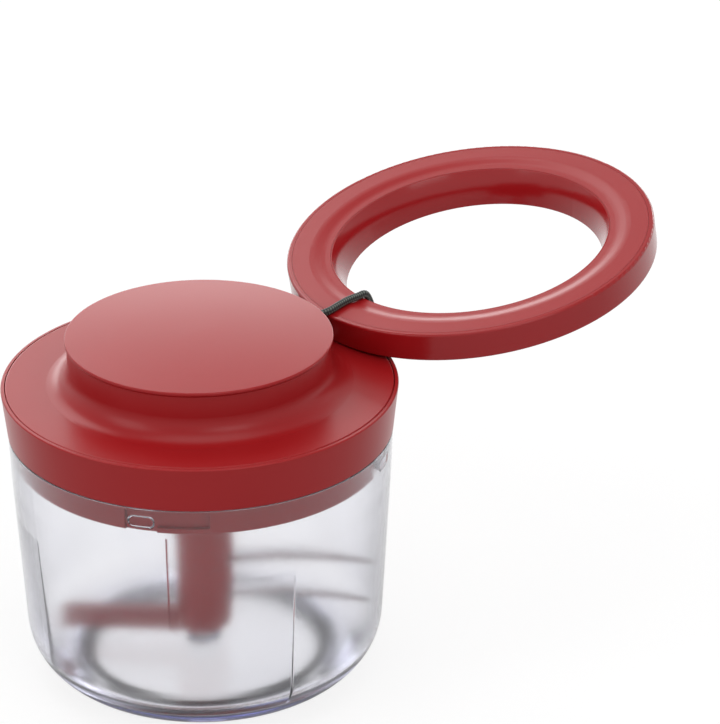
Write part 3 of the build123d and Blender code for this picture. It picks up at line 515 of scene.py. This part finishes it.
def turned(profile, columns):
    """Grid of a profile (radius, height) turned about Z: x and y are the radius times the angle's cosine and
    sine."""
    angle = np.linspace(-pi, pi, columns, endpoint=False)
    radius, height = profile[:, :1], profile[:, 1:]
    return np.stack([radius * np.cos(angle), radius * np.sin(angle), height + 0 * angle], -1)


print("a rounded corner has", len(rounded_profile([(0, 0, 0), (1, 0, 0.5), (1, 1, 0)])) - 2, "points")


# %% A piece's numbers, its body and its finish
def mark(piece, name, values):
    """Gives each point of a piece a number that its material reads."""
    layer = piece.data.attributes.new(name, "FLOAT", "POINT")
    layer.data.foreach_set("value", np.asarray(values, np.float32))


def seat(piece, body, slot, *replaced):
    """Rides a piece on its body, gives it its finish and hides the model pieces that it stands for."""
    piece.data.materials.append(finish[slot])
    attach(piece, body)
    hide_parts(*replaced)


# %% [markdown]
# ## Cord
# The cord is a round braid: two sets of yarns wind round it in opposite ways and pass over and under each
# other. On the unrolled surface they make a chequered pattern of slanted cells. Each cell shows one yarn,
# which rises in the middle of the cell and dips at its ends. A curve with a round bevel would be one step,
# but its yarns could only be painted on, so the tube is worked out along the curve's line instead.


# %% A smooth line through a few route points
least_step = 1e-9


def smooth_line(name, route, step):
    """Even points of the NURBS line whose control points are the route, read from a curve of no thickness."""
    curve = bpy.data.curves.new(name, "CURVE")
    curve.dimensions = "3D"
    curve.resolution_u = 24
    spline = curve.splines.new("NURBS")
    spline.points.add(len(route) - 1)
    for point, place in zip(spline.points, route):
        point.co = (*[v * mm for v in place], 1.0)
    spline.order_u = 3
    spline.use_endpoint_u = True
    holder = bpy.data.objects.new(name, curve)
    bpy.context.scene.collection.objects.link(holder)
    mesh = bpy.data.meshes.new_from_object(holder)
    line = np.zeros(len(mesh.vertices) * 3)
    mesh.vertices.foreach_get("co", line)
    line = line.reshape(-1, 3)
    bpy.data.objects.remove(holder)
    bpy.data.meshes.remove(mesh)
    moved = np.linalg.norm(np.diff(line, axis=0), axis=1) > least_step
    line = line[np.concatenate([[True], moved])]
    run = np.concatenate([[0], np.cumsum(np.linalg.norm(np.diff(line, axis=0), axis=1))])
    marks = np.linspace(0, run[-1], int(run[-1] / step))
    return np.stack([np.interp(marks, run, line[:, k]) for k in range(3)], 1), marks


print("line helper ready")

# %% Braid along a line
cord_radius = 1.42 * mm
yarns_each_way = 5
braid_pitch = 4.65 * mm
yarn_rise = 0.24 * mm
yarn_end_dip = 0.35
dark_yarn = 0.03


def braid(name, line, marks, up, radius=cord_radius, columns=72):
    """Tube along the line. u and v count the two crossing sets of yarns, and each cell of the chequer swells
    like a half circle across its yarn and a little less towards the yarn's ends."""
    ahead = np.gradient(line, axis=0)
    ahead /= np.linalg.norm(ahead, axis=1, keepdims=True)
    side = np.cross(ahead, up)
    side /= np.linalg.norm(side, axis=1, keepdims=True)
    top = np.cross(side, ahead)
    turn = np.linspace(0, 2 * pi, columns, endpoint=False)[None]
    run = marks[:, None] * yarns_each_way / braid_pitch
    u = turn * yarns_each_way / (2 * pi) + run
    v = turn * yarns_each_way / (2 * pi) - run
    over = np.mod(np.floor(u) + np.floor(v), 2) < 1
    across = np.where(over, v - np.floor(v), u - np.floor(u)) * 2 - 1
    along = np.where(over, u - np.floor(u), v - np.floor(v)) * 2 - 1
    swell = np.sqrt(np.maximum(1 - across**2, 0)) * (1 - yarn_end_dip * along**2)
    # Light yarns are painted brightest on each crown and dark towards the dips under the crossing yarns:
    # painted highlight and painted shade
    light = np.where(over, 1.0, dark_yarn) * swell**2
    reach = (radius - yarn_rise * (1 - swell))[..., None]
    outward = np.cos(turn)[..., None] * side[:, None] + np.sin(turn)[..., None] * top[:, None]
    made = skin(name, line[:, None] + reach * outward)
    mark(made, "yarn", np.concatenate([light.ravel(), [0, 0]]))
    return made


print(f"braid: a yarn every {braid_pitch / yarns_each_way / mm:.2f} mm")

# %% [markdown]
# ## The loop round the ring handle
# The loop starts at the knot, lies over the flat panel, drops over the ring's inner edge and comes back in
# the notch below. Its two strands leave the knot side by side, so the upper one lies a little to one side.
# A simulated cord could find its own way, but a taut loop follows the ring, so a few listed points will do.

# %% Loop
# Millimetres in the shared frame. The turns at the ring's inner edge follow its section
loop_route = [
    (53.6, -1.2, 126.2),
    (56.0, -2.8, 127.1),
    (61.0, -2.1, 128.05),
    (66.0, -1.7, 128.8),
    (70.5, -1.6, 128.8),
    (73.6, -1.5, 129.2),
    (75.6, -0.9, 126.65),
    (77.6, -0.1, 122.4),
    (80.1, 0.1, 117.4),
    (77.4, 0.1, 114.7),
    (71.5, 0, 116.6),
    (64.0, 0, 116.6),
    (55.4, 0, 115.8),
    (52.9, 0, 120.9),
]
loop_step = 0.13 * mm
loop_line, marks = smooth_line("loop_line", loop_route, loop_step)
handle_loop = braid("handle_loop", loop_line, marks, (0, 1, 0))
seat(handle_loop, "handle", "black_cord", "cord_loop")

# %% [markdown]
# ## Knot
# The loop is closed by an overhand knot, which also stops the cord at the eyelet. An overhand knot's middle
# is a trefoil: a line that goes round twice while it weaves through itself three times. Points by hand would
# be hard to keep even, and a trefoil has a formula.

# %% Knot
knot_size = float(knot_high.x - knot_low.x) / 2
strand = 1.0 * mm
knot_depth = 0.42
knot_up = (0.9, 0.3, 0.31)
knot_points = 200
t = np.linspace(0, 2 * pi, knot_points, endpoint=False)
wide = (2 + np.cos(3 * t)) / 3
trefoil = np.stack([knot_depth * np.sin(3 * t), wide * np.cos(2 * t), wide * np.sin(2 * t)], 1)
knot_line = knot_centre + trefoil * (knot_size - strand)
marks = np.concatenate([[0], np.cumsum(np.linalg.norm(np.diff(knot_line, axis=0), axis=1))])
stop_knot = braid("stop_knot", knot_line, marks, knot_up, radius=strand, columns=48)
seat(stop_knot, "cord_end", "black_cord", "cord_knot")
print(f"knot: {2 * knot_size / mm:.1f} mm across")

# %% [markdown]
# ## The cord that pays out
# At rest the knot sits at the eyelet. As the ring is pulled, cord comes out between them. Real turns would
# have to unwind for it. Here a short piece starts inside the eyelet and ends in the knot, drawn at rest.
# Behind it, the lead cord bends round the guide post inside the lid, and the rest lies on the reel in one
# layer of turns.

# %% Cord from the eyelet to the knot
start_in_eyelet = 1.5 * mm
out_points = 50
eyelet_low, eyelet_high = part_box("cord_eyelet")
out_start = np.array([eyelet_low.x + start_in_eyelet, 0, knot_centre[2]])
out_line = np.linspace(out_start, knot_centre, out_points)
running_cord = braid("running_cord", out_line, out_line[:, 0] - out_start[0], (0, 0, 1))
running_cord.data.materials.append(braided_cord)
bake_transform(running_cord)
print(f"running cord: {(knot_centre[0] - out_start[0]) / mm:.1f} mm at rest")

# %% Cord inside the lid
lead_step = 0.2 * mm
cord_height = knot_centre[2] / mm
lead_route = [
    (29.75, -9.07, cord_height),
    (33.6, -5.3, cord_height),
    (37.0, -1.97, cord_height),
    (39.4, 0.0, cord_height),
    (42.6, 0.0, cord_height),
    (47.0, 0.0, cord_height),
]
lead_line, marks = smooth_line("lead_line", lead_route, lead_step)
lead = braid("lead_cord_braid", lead_line, marks, (0, 0, 1), columns=48)
seat(lead, "lid", "black_cord", "lead_cord")
print(f"lead cord: {marks[-1] / mm:.1f} mm")

# %% Cord on the reel
wound_low, wound_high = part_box("wound_cord")
wound_turns = 2.35
wound_thickness = 1.3 * mm
wound_line_step = 0.45 * mm
points_a_turn = 16
# The climb of each turn and the radii are in millimetres, as all routes are. A line of this kind runs inside
# its control points, so they lie a little further out
wound_climb, wound_radius = 2.6, 27.1
route_radius = wound_radius / cos(pi / points_a_turn)
# The last whole step ends the route, so 2.31 turns are drawn
turn = np.arange(int(wound_turns * points_a_turn) + 1) / points_a_turn
level = (wound_low.z + wound_high.z) / 2 / mm + wound_climb * (turn - wound_turns / 2)
coil = np.stack([route_radius * np.cos(2 * pi * turn), route_radius * np.sin(2 * pi * turn), level], 1)
wound_line, marks = smooth_line("wound_line", coil.tolist(), wound_line_step)
wound = braid("wound_cord_braid", wound_line, marks, (0, 0, 1), radius=wound_thickness, columns=24)
seat(wound, "reel", "black_cord", "wound_cord")
print(f"cord on the reel: {turn[-1]:.2f} turns, {marks[-1] / mm:.0f} mm")

# %% [markdown]
# ## Bowl
# The bowl is one moulding. Its outside is a plain cone with a deep round foot. Inside it has four raised
# pads that throw food back to the blades, and four pill-shaped lugs for the lid. A turned profile alone
# can't show them, and joining them on with booleans would leave seams that clear plastic shows. So the inner
# wall's radius is a function of both angle and height: the plain wall, less the pads and the lugs. The grid
# has extra rows and columns at their edges, so that those edges stay crisp.

# %% Sizes of the bowl
bowl_wall = 2.6 * mm
band_radius = 69.2 * mm
band_height = rim_height - 18.0 * mm
foot_radius = 64.3 * mm
foot_gap = 0.6 * mm
foot_round = 22.7 * mm
floor_top = 9.8 * mm
floor_under = 7.2 * mm
inner_round = 9.0 * mm
recess_radius = 48.8 * mm
boss_radius = 6.5 * mm
boss_top = 14.4 * mm
pin_radius = 2.5 * mm
pin_floor = 10.9 * mm
# The rim's top face is matte, as a parting face of the mould is
rim_frost = 0.8
rim_round_outside, rim_round_inside = 0.5 * mm, 0.4 * mm
wall_slope = (band_radius - foot_radius) / (band_height - foot_gap)
floor_radius = foot_radius + wall_slope * (floor_top - foot_gap) - bowl_wall

pad_start = radians(-135.6)
pad_span = radians(39.9)
pad_top = rim_height - 29.3 * mm
pad_depth = 1.7 * mm
pad_edge = radians(0.35)
pad_rise_share = 0.9
crease_low, crease_high = 42 * mm, 86 * mm
crease_fade = 12 * mm
crease_rise = 0.09 * mm
crease_edge = radians(0.4)
crease_span = radians(9)
lug_first = radians(-53.0)
lug_length = 9.3 * mm
lug_height = 4.0 * mm
lug_reach = 1.9 * mm
lug_level = rim_height - 6.2 * mm
lug_edge = 0.6 * mm
hair = 0.001 * mm
print(f"bowl wall leans by {wall_slope * 100:.1f} per cent")


# %% The bowl's inner wall as a function of angle and height
def smooth_step(x):
    """0 below 0, 1 above 1, and a soft S between them: three times x squared less twice x cubed."""
    x = np.clip(x, 0, 1)
    return x * x * (3 - 2 * x)


def pad_thickness(angle, height):
    """Thickest at the floor, gone at its top. One upright edge is steep, the other fades from a crease. The
    depth is multiplied by a share for the height and one for each edge, and the crease is added."""
    across = (angle - pad_start) % (pi / 2)
    steep = smooth_step((pad_span - across) / pad_edge + 0.5)
    soft = smooth_step(across / (pad_rise_share * pad_span))
    fade = np.clip((pad_top - height) / (pad_top - floor_top), 0, 1)
    crease = smooth_step((height - crease_low) / crease_fade) * smooth_step((crease_high - height) / mm)
    ridge = crease * smooth_step(across / crease_edge) * np.clip(1 - across / crease_span, 0, 1)
    return pad_depth * fade * soft * steep + crease_rise * ridge


def lug_thickness(angle, height):
    """A pill with a soft edge: full where the distance to its middle line is under half its height."""
    from_middle = (angle - lug_first + pi / 4) % (pi / 2) - pi / 4
    beyond = np.maximum(np.abs(from_middle) * (band_radius - bowl_wall) - (lug_length - lug_height) / 2, 0)
    outside = np.hypot(beyond, height - lug_level) - lug_height / 2
    return lug_reach * smooth_step(0.5 - outside / lug_edge)


probe_angle, probe_height = pad_start + pad_span * 0.98, floor_top + 2.2 * mm
near_edge = float(pad_thickness(probe_angle, probe_height))
print(f"pad at its steep edge is {near_edge / mm:.2f} mm thick")


# %% Section of the bowl
# Rows are close together where lugs, creases and pads begin, and further apart on the plain wall
fine_step, coarse_step, least_row = 0.3 * mm, 2.4 * mm, 0.1 * mm
under_step, outer_step, floor_step = 12 * mm, 8 * mm, 5 * mm
foot_arc_steps, inner_arc_steps = 20, 12
below_edge, above_edge = 1.5 * mm, 0.6 * mm
fine_bands = (
    (rim_height - 9 * mm, rim_height - 2.2 * mm),
    (crease_high - below_edge, crease_high + above_edge),
    (pad_top - below_edge, pad_top + above_edge),
)
coarse_top = rim_height - 10 * mm
fan_radius = 12 * mm
sole_start = 30 * mm
lip_margin = 0.3 * mm
lip_inside = 1.5 * mm
rim_face = 0.3 * mm
round_margin = 0.2 * mm
boss_foot_round, boss_top_round, pin_hole_round = 0.6 * mm, 0.4 * mm, 0.2 * mm


def bowl_outside():
    """Points (radius, height) out from the recess, round the foot and up to the rim: straight lines joined by
    arcs that touch them."""
    outline = rounded_profile(
        [
            (sole_start, foot_gap, 0),
            (foot_radius, foot_gap, foot_round),
            (band_radius, band_height, 0),
            (rim_radius, rim_height, rim_round_outside),
            (rim_radius - bowl_wall, rim_height, rim_round_inside),
            (rim_radius - bowl_wall, rim_height - lip_inside, 0),
        ],
        foot_arc_steps,
    )
    lip = np.interp(recess_radius, outline[:foot_arc_steps, 0], outline[:foot_arc_steps, 1])
    outline = outline[outline[:, 0] > recess_radius + lip_margin]
    under = np.array([(fan_radius, floor_under), (recess_radius, floor_under), (recess_radius, lip)])
    return np.concatenate([spread(under, under_step), spread(outline, outer_step)])


def bowl_inside():
    """Points down the inner wall, whose radius runs straight between rim, band and floor, then round its foot
    to the boss."""
    fine = np.concatenate([np.arange(start, end, fine_step) for start, end in fine_bands])
    coarse = np.arange(floor_top + inner_round, coarse_top, coarse_step)
    level = np.unique(np.concatenate([fine, coarse]))[::-1]
    level = level[np.concatenate([[True], np.diff(level) < -least_row])]
    knees = [floor_top, band_height, rim_height]
    wall = np.interp(level, knees, [floor_radius, band_radius - bowl_wall, rim_radius - bowl_wall])
    low = rounded_profile(
        [
            (wall[-1], level[-1], 0),
            (floor_radius, floor_top, inner_round - round_margin),
            (boss_radius, floor_top, boss_foot_round),
            (boss_radius, boss_top, boss_top_round),
            (pin_radius, boss_top, pin_hole_round),
            (pin_radius, pin_floor, 0),
        ],
        inner_arc_steps,
    )
    return np.concatenate([np.stack([wall, level], 1), spread(low[1:], floor_step)])


outside_rows, inside_rows = bowl_outside(), bowl_inside()
section = np.concatenate([outside_rows, inside_rows])
inner = np.repeat([0.0, 1.0], [len(outside_rows), len(inside_rows)])
frosted = inner.copy()
frosted[section[:, 1] > rim_height - rim_face] = rim_frost
print("bowl section:", len(section), "points")


# %% Bowl mesh
even_columns = 270
lug_columns = 40
lug_half = 5.4 * mm
beside_edge = radians(1) * np.array([-0.4, -0.2, 0, 0.2, 0.4])
least_gap = radians(0.08)


def bowl_angles():
    """Even columns all round, with close ones at the edges of pads and lugs."""
    even = np.linspace(-pi, pi, even_columns, endpoint=False)
    edges = [beside_edge + pad_start + d for d in (0, pad_span)]
    lug = lug_first + np.linspace(-lug_half, lug_half, lug_columns) / (band_radius - bowl_wall)
    close = (np.concatenate([*edges, lug])[None] + np.arange(4)[:, None] * pi / 2).ravel()
    every = np.sort((np.concatenate([even, close]) + pi) % (2 * pi) - pi)
    return every[np.concatenate([[True], np.diff(every) > least_gap])]


angle = bowl_angles()
radius, height = section[:, :1], section[:, 1:]
flat = floor_radius - inner_round
# On the flat floor the pads fade towards the boss, and the boss itself has none
fading = np.clip((radius - boss_radius) / (flat - boss_radius), 0, 1)
share = np.where(height < floor_top + hair, fading, (radius > flat - mm) * 1.0) * inner[:, None]
pads = pad_thickness(angle[None], height)
shaped = radius - share * pads - inner[:, None] * lug_thickness(angle[None], height)
grid = np.stack([shaped * np.cos(angle), shaped * np.sin(angle), height + 0 * angle], -1)
bowl_shell = skin("bowl_shell", grid, flip=True)
mark(bowl_shell, "frost", np.concatenate([np.repeat(frosted, len(angle)), [0.0, 1.0]]))
seat(bowl_shell, "bowl", "clear_plastic", "bowl")
print("bowl:", len(section), "rows by", len(angle), "columns")

# %% [markdown]
# ## Foot ring
# A soft ring keeps the bowl from sliding. A torus would be quick, but this ring stands on a flat face with
# fine grooves, so its profile is a rounded bar with a small wave along its lowest face.

# %% Foot ring
ring_outer = float(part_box("foot_ring")[1].x)
ring_width = 3.8 * mm
ring_inner = ring_outer - ring_width
groove_depth = 0.3 * mm
ring_middle = (ring_outer + ring_inner) / 2
ring_round, seat_round = 0.9 * mm, 0.1 * mm
bar_arc_steps, ring_columns = 8, 240
bar_step = 0.15 * mm
on_table = 0.01 * mm
corners = [
    (ring_middle, floor_under, 0),
    (ring_inner, floor_under, seat_round),
    (ring_inner, 0, ring_round),
    (ring_outer, 0, ring_round),
    (ring_outer, floor_under, seat_round),
    (ring_middle, floor_under, 0),
]
bar = spread(rounded_profile(corners, bar_arc_steps), bar_step)[:-1]
along = np.clip((bar[:, 0] - ring_inner - ring_round) / (ring_width - 2 * ring_round), 0, 1)
bar[:, 1] += groove_depth * np.sin(2 * pi * along) ** 2 * (bar[:, 1] < on_table)
foot_grip = skin("foot_grip", turned(bar, ring_columns), closed="ring", flip=True)
seat(foot_grip, "bowl", "foot_rubber", "foot_ring")
print("foot ring:", len(bar), "rows")

# %% [markdown]
# ## Blades
# Each blade is strip steel, curved like a scythe, with one long edge ground to a wedge. A solidified outline
# would be as thick at its edge as at its back. On a grid the thickness is a formula too: it is full from the
# back, and both faces close in on a thin edge over the last 3 mm. The outline bows sideways.

# %% Blades
blade_thickness = 1.2 * mm
blade_tang = 8.0 * mm
grind_width = 3.2 * mm
edge_thickness = 0.15 * mm
half_width_root, half_width_tip = 6.0 * mm, 1.3 * mm
blade_bow = 3.4 * mm
bow_share = 0.98
tip_margin = 0.985
# Near the tip the grind narrows with the strip, to this many times half its width
grind_limit = 1.2
blade_rows, face_columns = 60, 25


def blade_grid(node, turn):
    """Grid along and across the strip. Its bow is half a sine wave, and it thins towards the ground edge."""
    low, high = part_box(node)
    middle = (low.z + high.z) / 2
    reach = float(high.x) / cos(turn) * tip_margin
    share = np.linspace(0, 1, blade_rows)[:, None]
    x = blade_tang + (reach - blade_tang) * share
    half = half_width_root + (half_width_tip - half_width_root) * share
    across = np.concatenate([np.linspace(-1, 1, face_columns), np.linspace(1, -1, face_columns)])[None]
    face = np.repeat([1.0, -1.0], face_columns)[None]
    y = blade_bow * np.sin(pi * share * bow_share) + half * across
    full = np.clip((across + 1) * half / np.minimum(grind_width, grind_limit * half), 0, 1)
    z = middle + face * (edge_thickness + (blade_thickness - edge_thickness) * full) / 2
    return np.stack([x * cos(turn) - y * sin(turn), x * sin(turn) + y * cos(turn), z], -1)


for node, turn in (("upper_blade", radians(-42.3)), ("lower_blade", radians(-44.4))):
    grid = blade_grid(node, turn)
    blade = skin(node + "_ground", grid, smooth=False)
    seat(blade, "blades", "blade_steel", node)
    print(node, "reaches", round(float(np.hypot(grid[..., 0], grid[..., 1]).max()) / mm, 1), "mm")

# %% [markdown]
# ## Screws and the eyelet
# Pan head screws hold the cover, the reel's carrier and the ring's panel. A screw is a turned profile with
# two things more: a cross sunk in its head, and a thread, a ridge that climbs as it goes round. Booleans
# could cut both, but as heights and radii on one grid they leave the screw one closed surface. The eyelet is
# a small turned collar whose mouth is rounded, so that it doesn't wear the cord.

# %% Shape of a screw
thread_pitch = 0.9 * mm
thread_depth = 0.22 * mm
thread_end = 0.8 * mm
thread_clear_top, thread_clear_tip = 0.2 * mm, 0.3 * mm
tip_share = 0.35
cross_arm = 0.55 * mm
cross_edge = 0.3 * mm
cross_reach = 0.62
cross_depth = 0.6
cross_face_share = 0.9
head_middle = 0.15 * mm
head_round = 0.45 * mm
head_arc_steps = 5
head_step = 0.3 * mm
shank_step = 0.15 * mm
screw_columns = 40


def screw_grid(head_radius, head_height, shank_radius, length):
    """A screw along Z, head up, its head's underside at 0. Rows run from the head's middle to the tip. The
    thread's depth is a zigzag of height plus turn."""
    corners = [(head_middle, head_height, 0), (head_radius, head_height, head_round), (head_radius, 0, 0)]
    top = rounded_profile(corners, head_arc_steps)
    head = spread(np.concatenate([top, [[shank_radius, 0.0]]]), head_step)
    drop = -np.arange(head_step, length - thread_end, shank_step)[:, None]
    shank = np.concatenate([shank_radius + 0 * drop, drop], 1)
    tip = np.array([(tip_share * shank_radius, -length)])
    rows = np.concatenate([head, shank, tip])
    turn = np.linspace(0, 2 * pi, screw_columns, endpoint=False)[None]
    radius, height = rows[:, :1], rows[:, 1:]
    on_shank = (height < -thread_clear_top) & (height > -length + thread_clear_tip)
    climb = np.abs((height / thread_pitch + turn / (2 * pi)) % 1 * 2 - 1)
    radius = radius - on_shank * thread_depth * climb
    x, y = radius * np.cos(turn), radius * np.sin(turn)
    nearer, farther = np.minimum(np.abs(x), np.abs(y)), np.maximum(np.abs(x), np.abs(y))
    arm = smooth_step((cross_arm - nearer) / cross_edge + 0.5)
    reach = smooth_step((cross_reach * head_radius - farther) / cross_edge + 0.5)
    cross = cross_depth * head_height * arm * reach * (height > cross_face_share * head_height)
    return np.stack([x, y, height - cross], -1)


print(f"thread: a turn every {thread_pitch / mm:.1f} mm")

# %% Screws in sets
screws_a_set = 4
first_screw = 45


def four_screws(name, body, screw, circle, seat_height, up, place=None):
    """One screw copied to four places on a circle, and joined in one mesh."""
    one = screw * [1, 1 if up else -1, 1 if up else -1] + [circle, 0, seat_height]
    made = []
    for k in range(screws_a_set):
        a = radians(first_screw + 360 / screws_a_set * k)
        x, y, z = np.moveaxis(one, -1, 0)
        grid = np.stack([x * cos(a) - y * sin(a), x * sin(a) + y * cos(a), z], -1)
        made.append(skin(f"{name}_{k}", place(grid) if place else grid))
    with bpy.context.temp_override(active_object=made[0], selected_editable_objects=made):
        bpy.ops.object.join()
    made[0].name = name
    seat(made[0], body, "steel", name.removesuffix("_driven"))


print("screws in a set:", screws_a_set)

# %% Screws of the cover, the carrier and the ring handle
handle_tilt = radians(10.22)
# How far the ring's middle is along the cord's way and above the table
handle_middle = (123.996 * mm, 137.976 * mm)


def on_handle(grid):
    """From the ring handle's own frame to its place, with its far side raised by its tilt."""
    x, y, z = np.moveaxis(grid, -1, 0)
    along = handle_middle[0] + x * cos(handle_tilt) - z * sin(handle_tilt)
    return np.stack([along, y, handle_middle[1] + x * sin(handle_tilt) + z * cos(handle_tilt)], -1)


cover_low, cover_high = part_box("cover_screws")
carrier_low, carrier_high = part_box("carrier_screws")
big_head, big_height, big_shank = 2.6 * mm, 1.6 * mm, 1.3 * mm
small_head, small_height, small_shank = 2.3 * mm, 1.1 * mm, 1.1 * mm
small_length = 5.4 * mm
cover_circle, carrier_circle, handle_circle = 59.2 * mm, 40.0 * mm, 59.4 * mm
handle_seat = -11.14 * mm
long_screw = screw_grid(big_head, big_height, big_shank, cover_high.z - cover_low.z - big_height)
four_screws("cover_screws_driven", "lid", long_screw, cover_circle, cover_low.z + big_height, False)
carrier_screw = screw_grid(big_head, big_height, big_shank, carrier_high.z - carrier_low.z - big_height)
carrier_seat = carrier_high.z - big_height
four_screws("carrier_screws_driven", "lid", carrier_screw, carrier_circle, carrier_seat, True)
small_screw = screw_grid(small_head, small_height, small_shank, small_length)
four_screws("handle_screws_driven", "handle", small_screw, handle_circle, handle_seat, False, on_handle)
print("screws: 3 sets of four")

# %% Eyelet
bore, barrel, flange = 2.0 * mm, 3.6 * mm, 4.2 * mm
flange_thickness = 0.75 * mm
mouth_round, flange_round, edge_round, fillet = 0.35 * mm, 0.3 * mm, 0.2 * mm, 0.1 * mm
eyelet_columns = 96
inner_end, outer_end = float(eyelet_low.x), float(eyelet_high.x)
eyelet_middle = (inner_end + outer_end) / 2
flange_start = outer_end - flange_thickness
corners = [
    (bore, eyelet_middle, 0),
    (bore, outer_end, mouth_round),
    (flange, outer_end, flange_round),
    (flange, flange_start, edge_round),
    (barrel, flange_start, fillet),
    (barrel, inner_end, edge_round),
    (bore, inner_end, mouth_round),
    (bore, eyelet_middle, 0),
]
grid = turned(rounded_profile(corners)[:-1], eyelet_columns)
lying = np.stack([grid[..., 2], grid[..., 1], knot_centre[2] - grid[..., 0]], -1)
eyelet = skin("turned_eyelet", lying, closed="ring")
seat(eyelet, "lid", "steel", "cord_eyelet")
print("eyelet:", round((outer_end - inner_end) / mm, 2), "mm long")

# %% [markdown]
# ## Table top
# A wide sheet of white paper takes the soft shadow. A shadow catcher could stand in for it, but paper also
# throws light back up at the object.

# %% Table top
table_half = 3.0
corners = [(x * table_half, y * table_half, 0) for x, y in ((-1, -1), (1, -1), (1, 1), (-1, 1))]
table_mesh = bpy.data.meshes.new("table_top")
table_mesh.from_pydata(corners, [], [(0, 1, 2, 3)])
table = bpy.data.objects.new("table_top", table_mesh)
bpy.context.scene.collection.objects.link(table)
table.data.materials.append(white_paper)
print("table top:", 2 * table_half, "m wide")
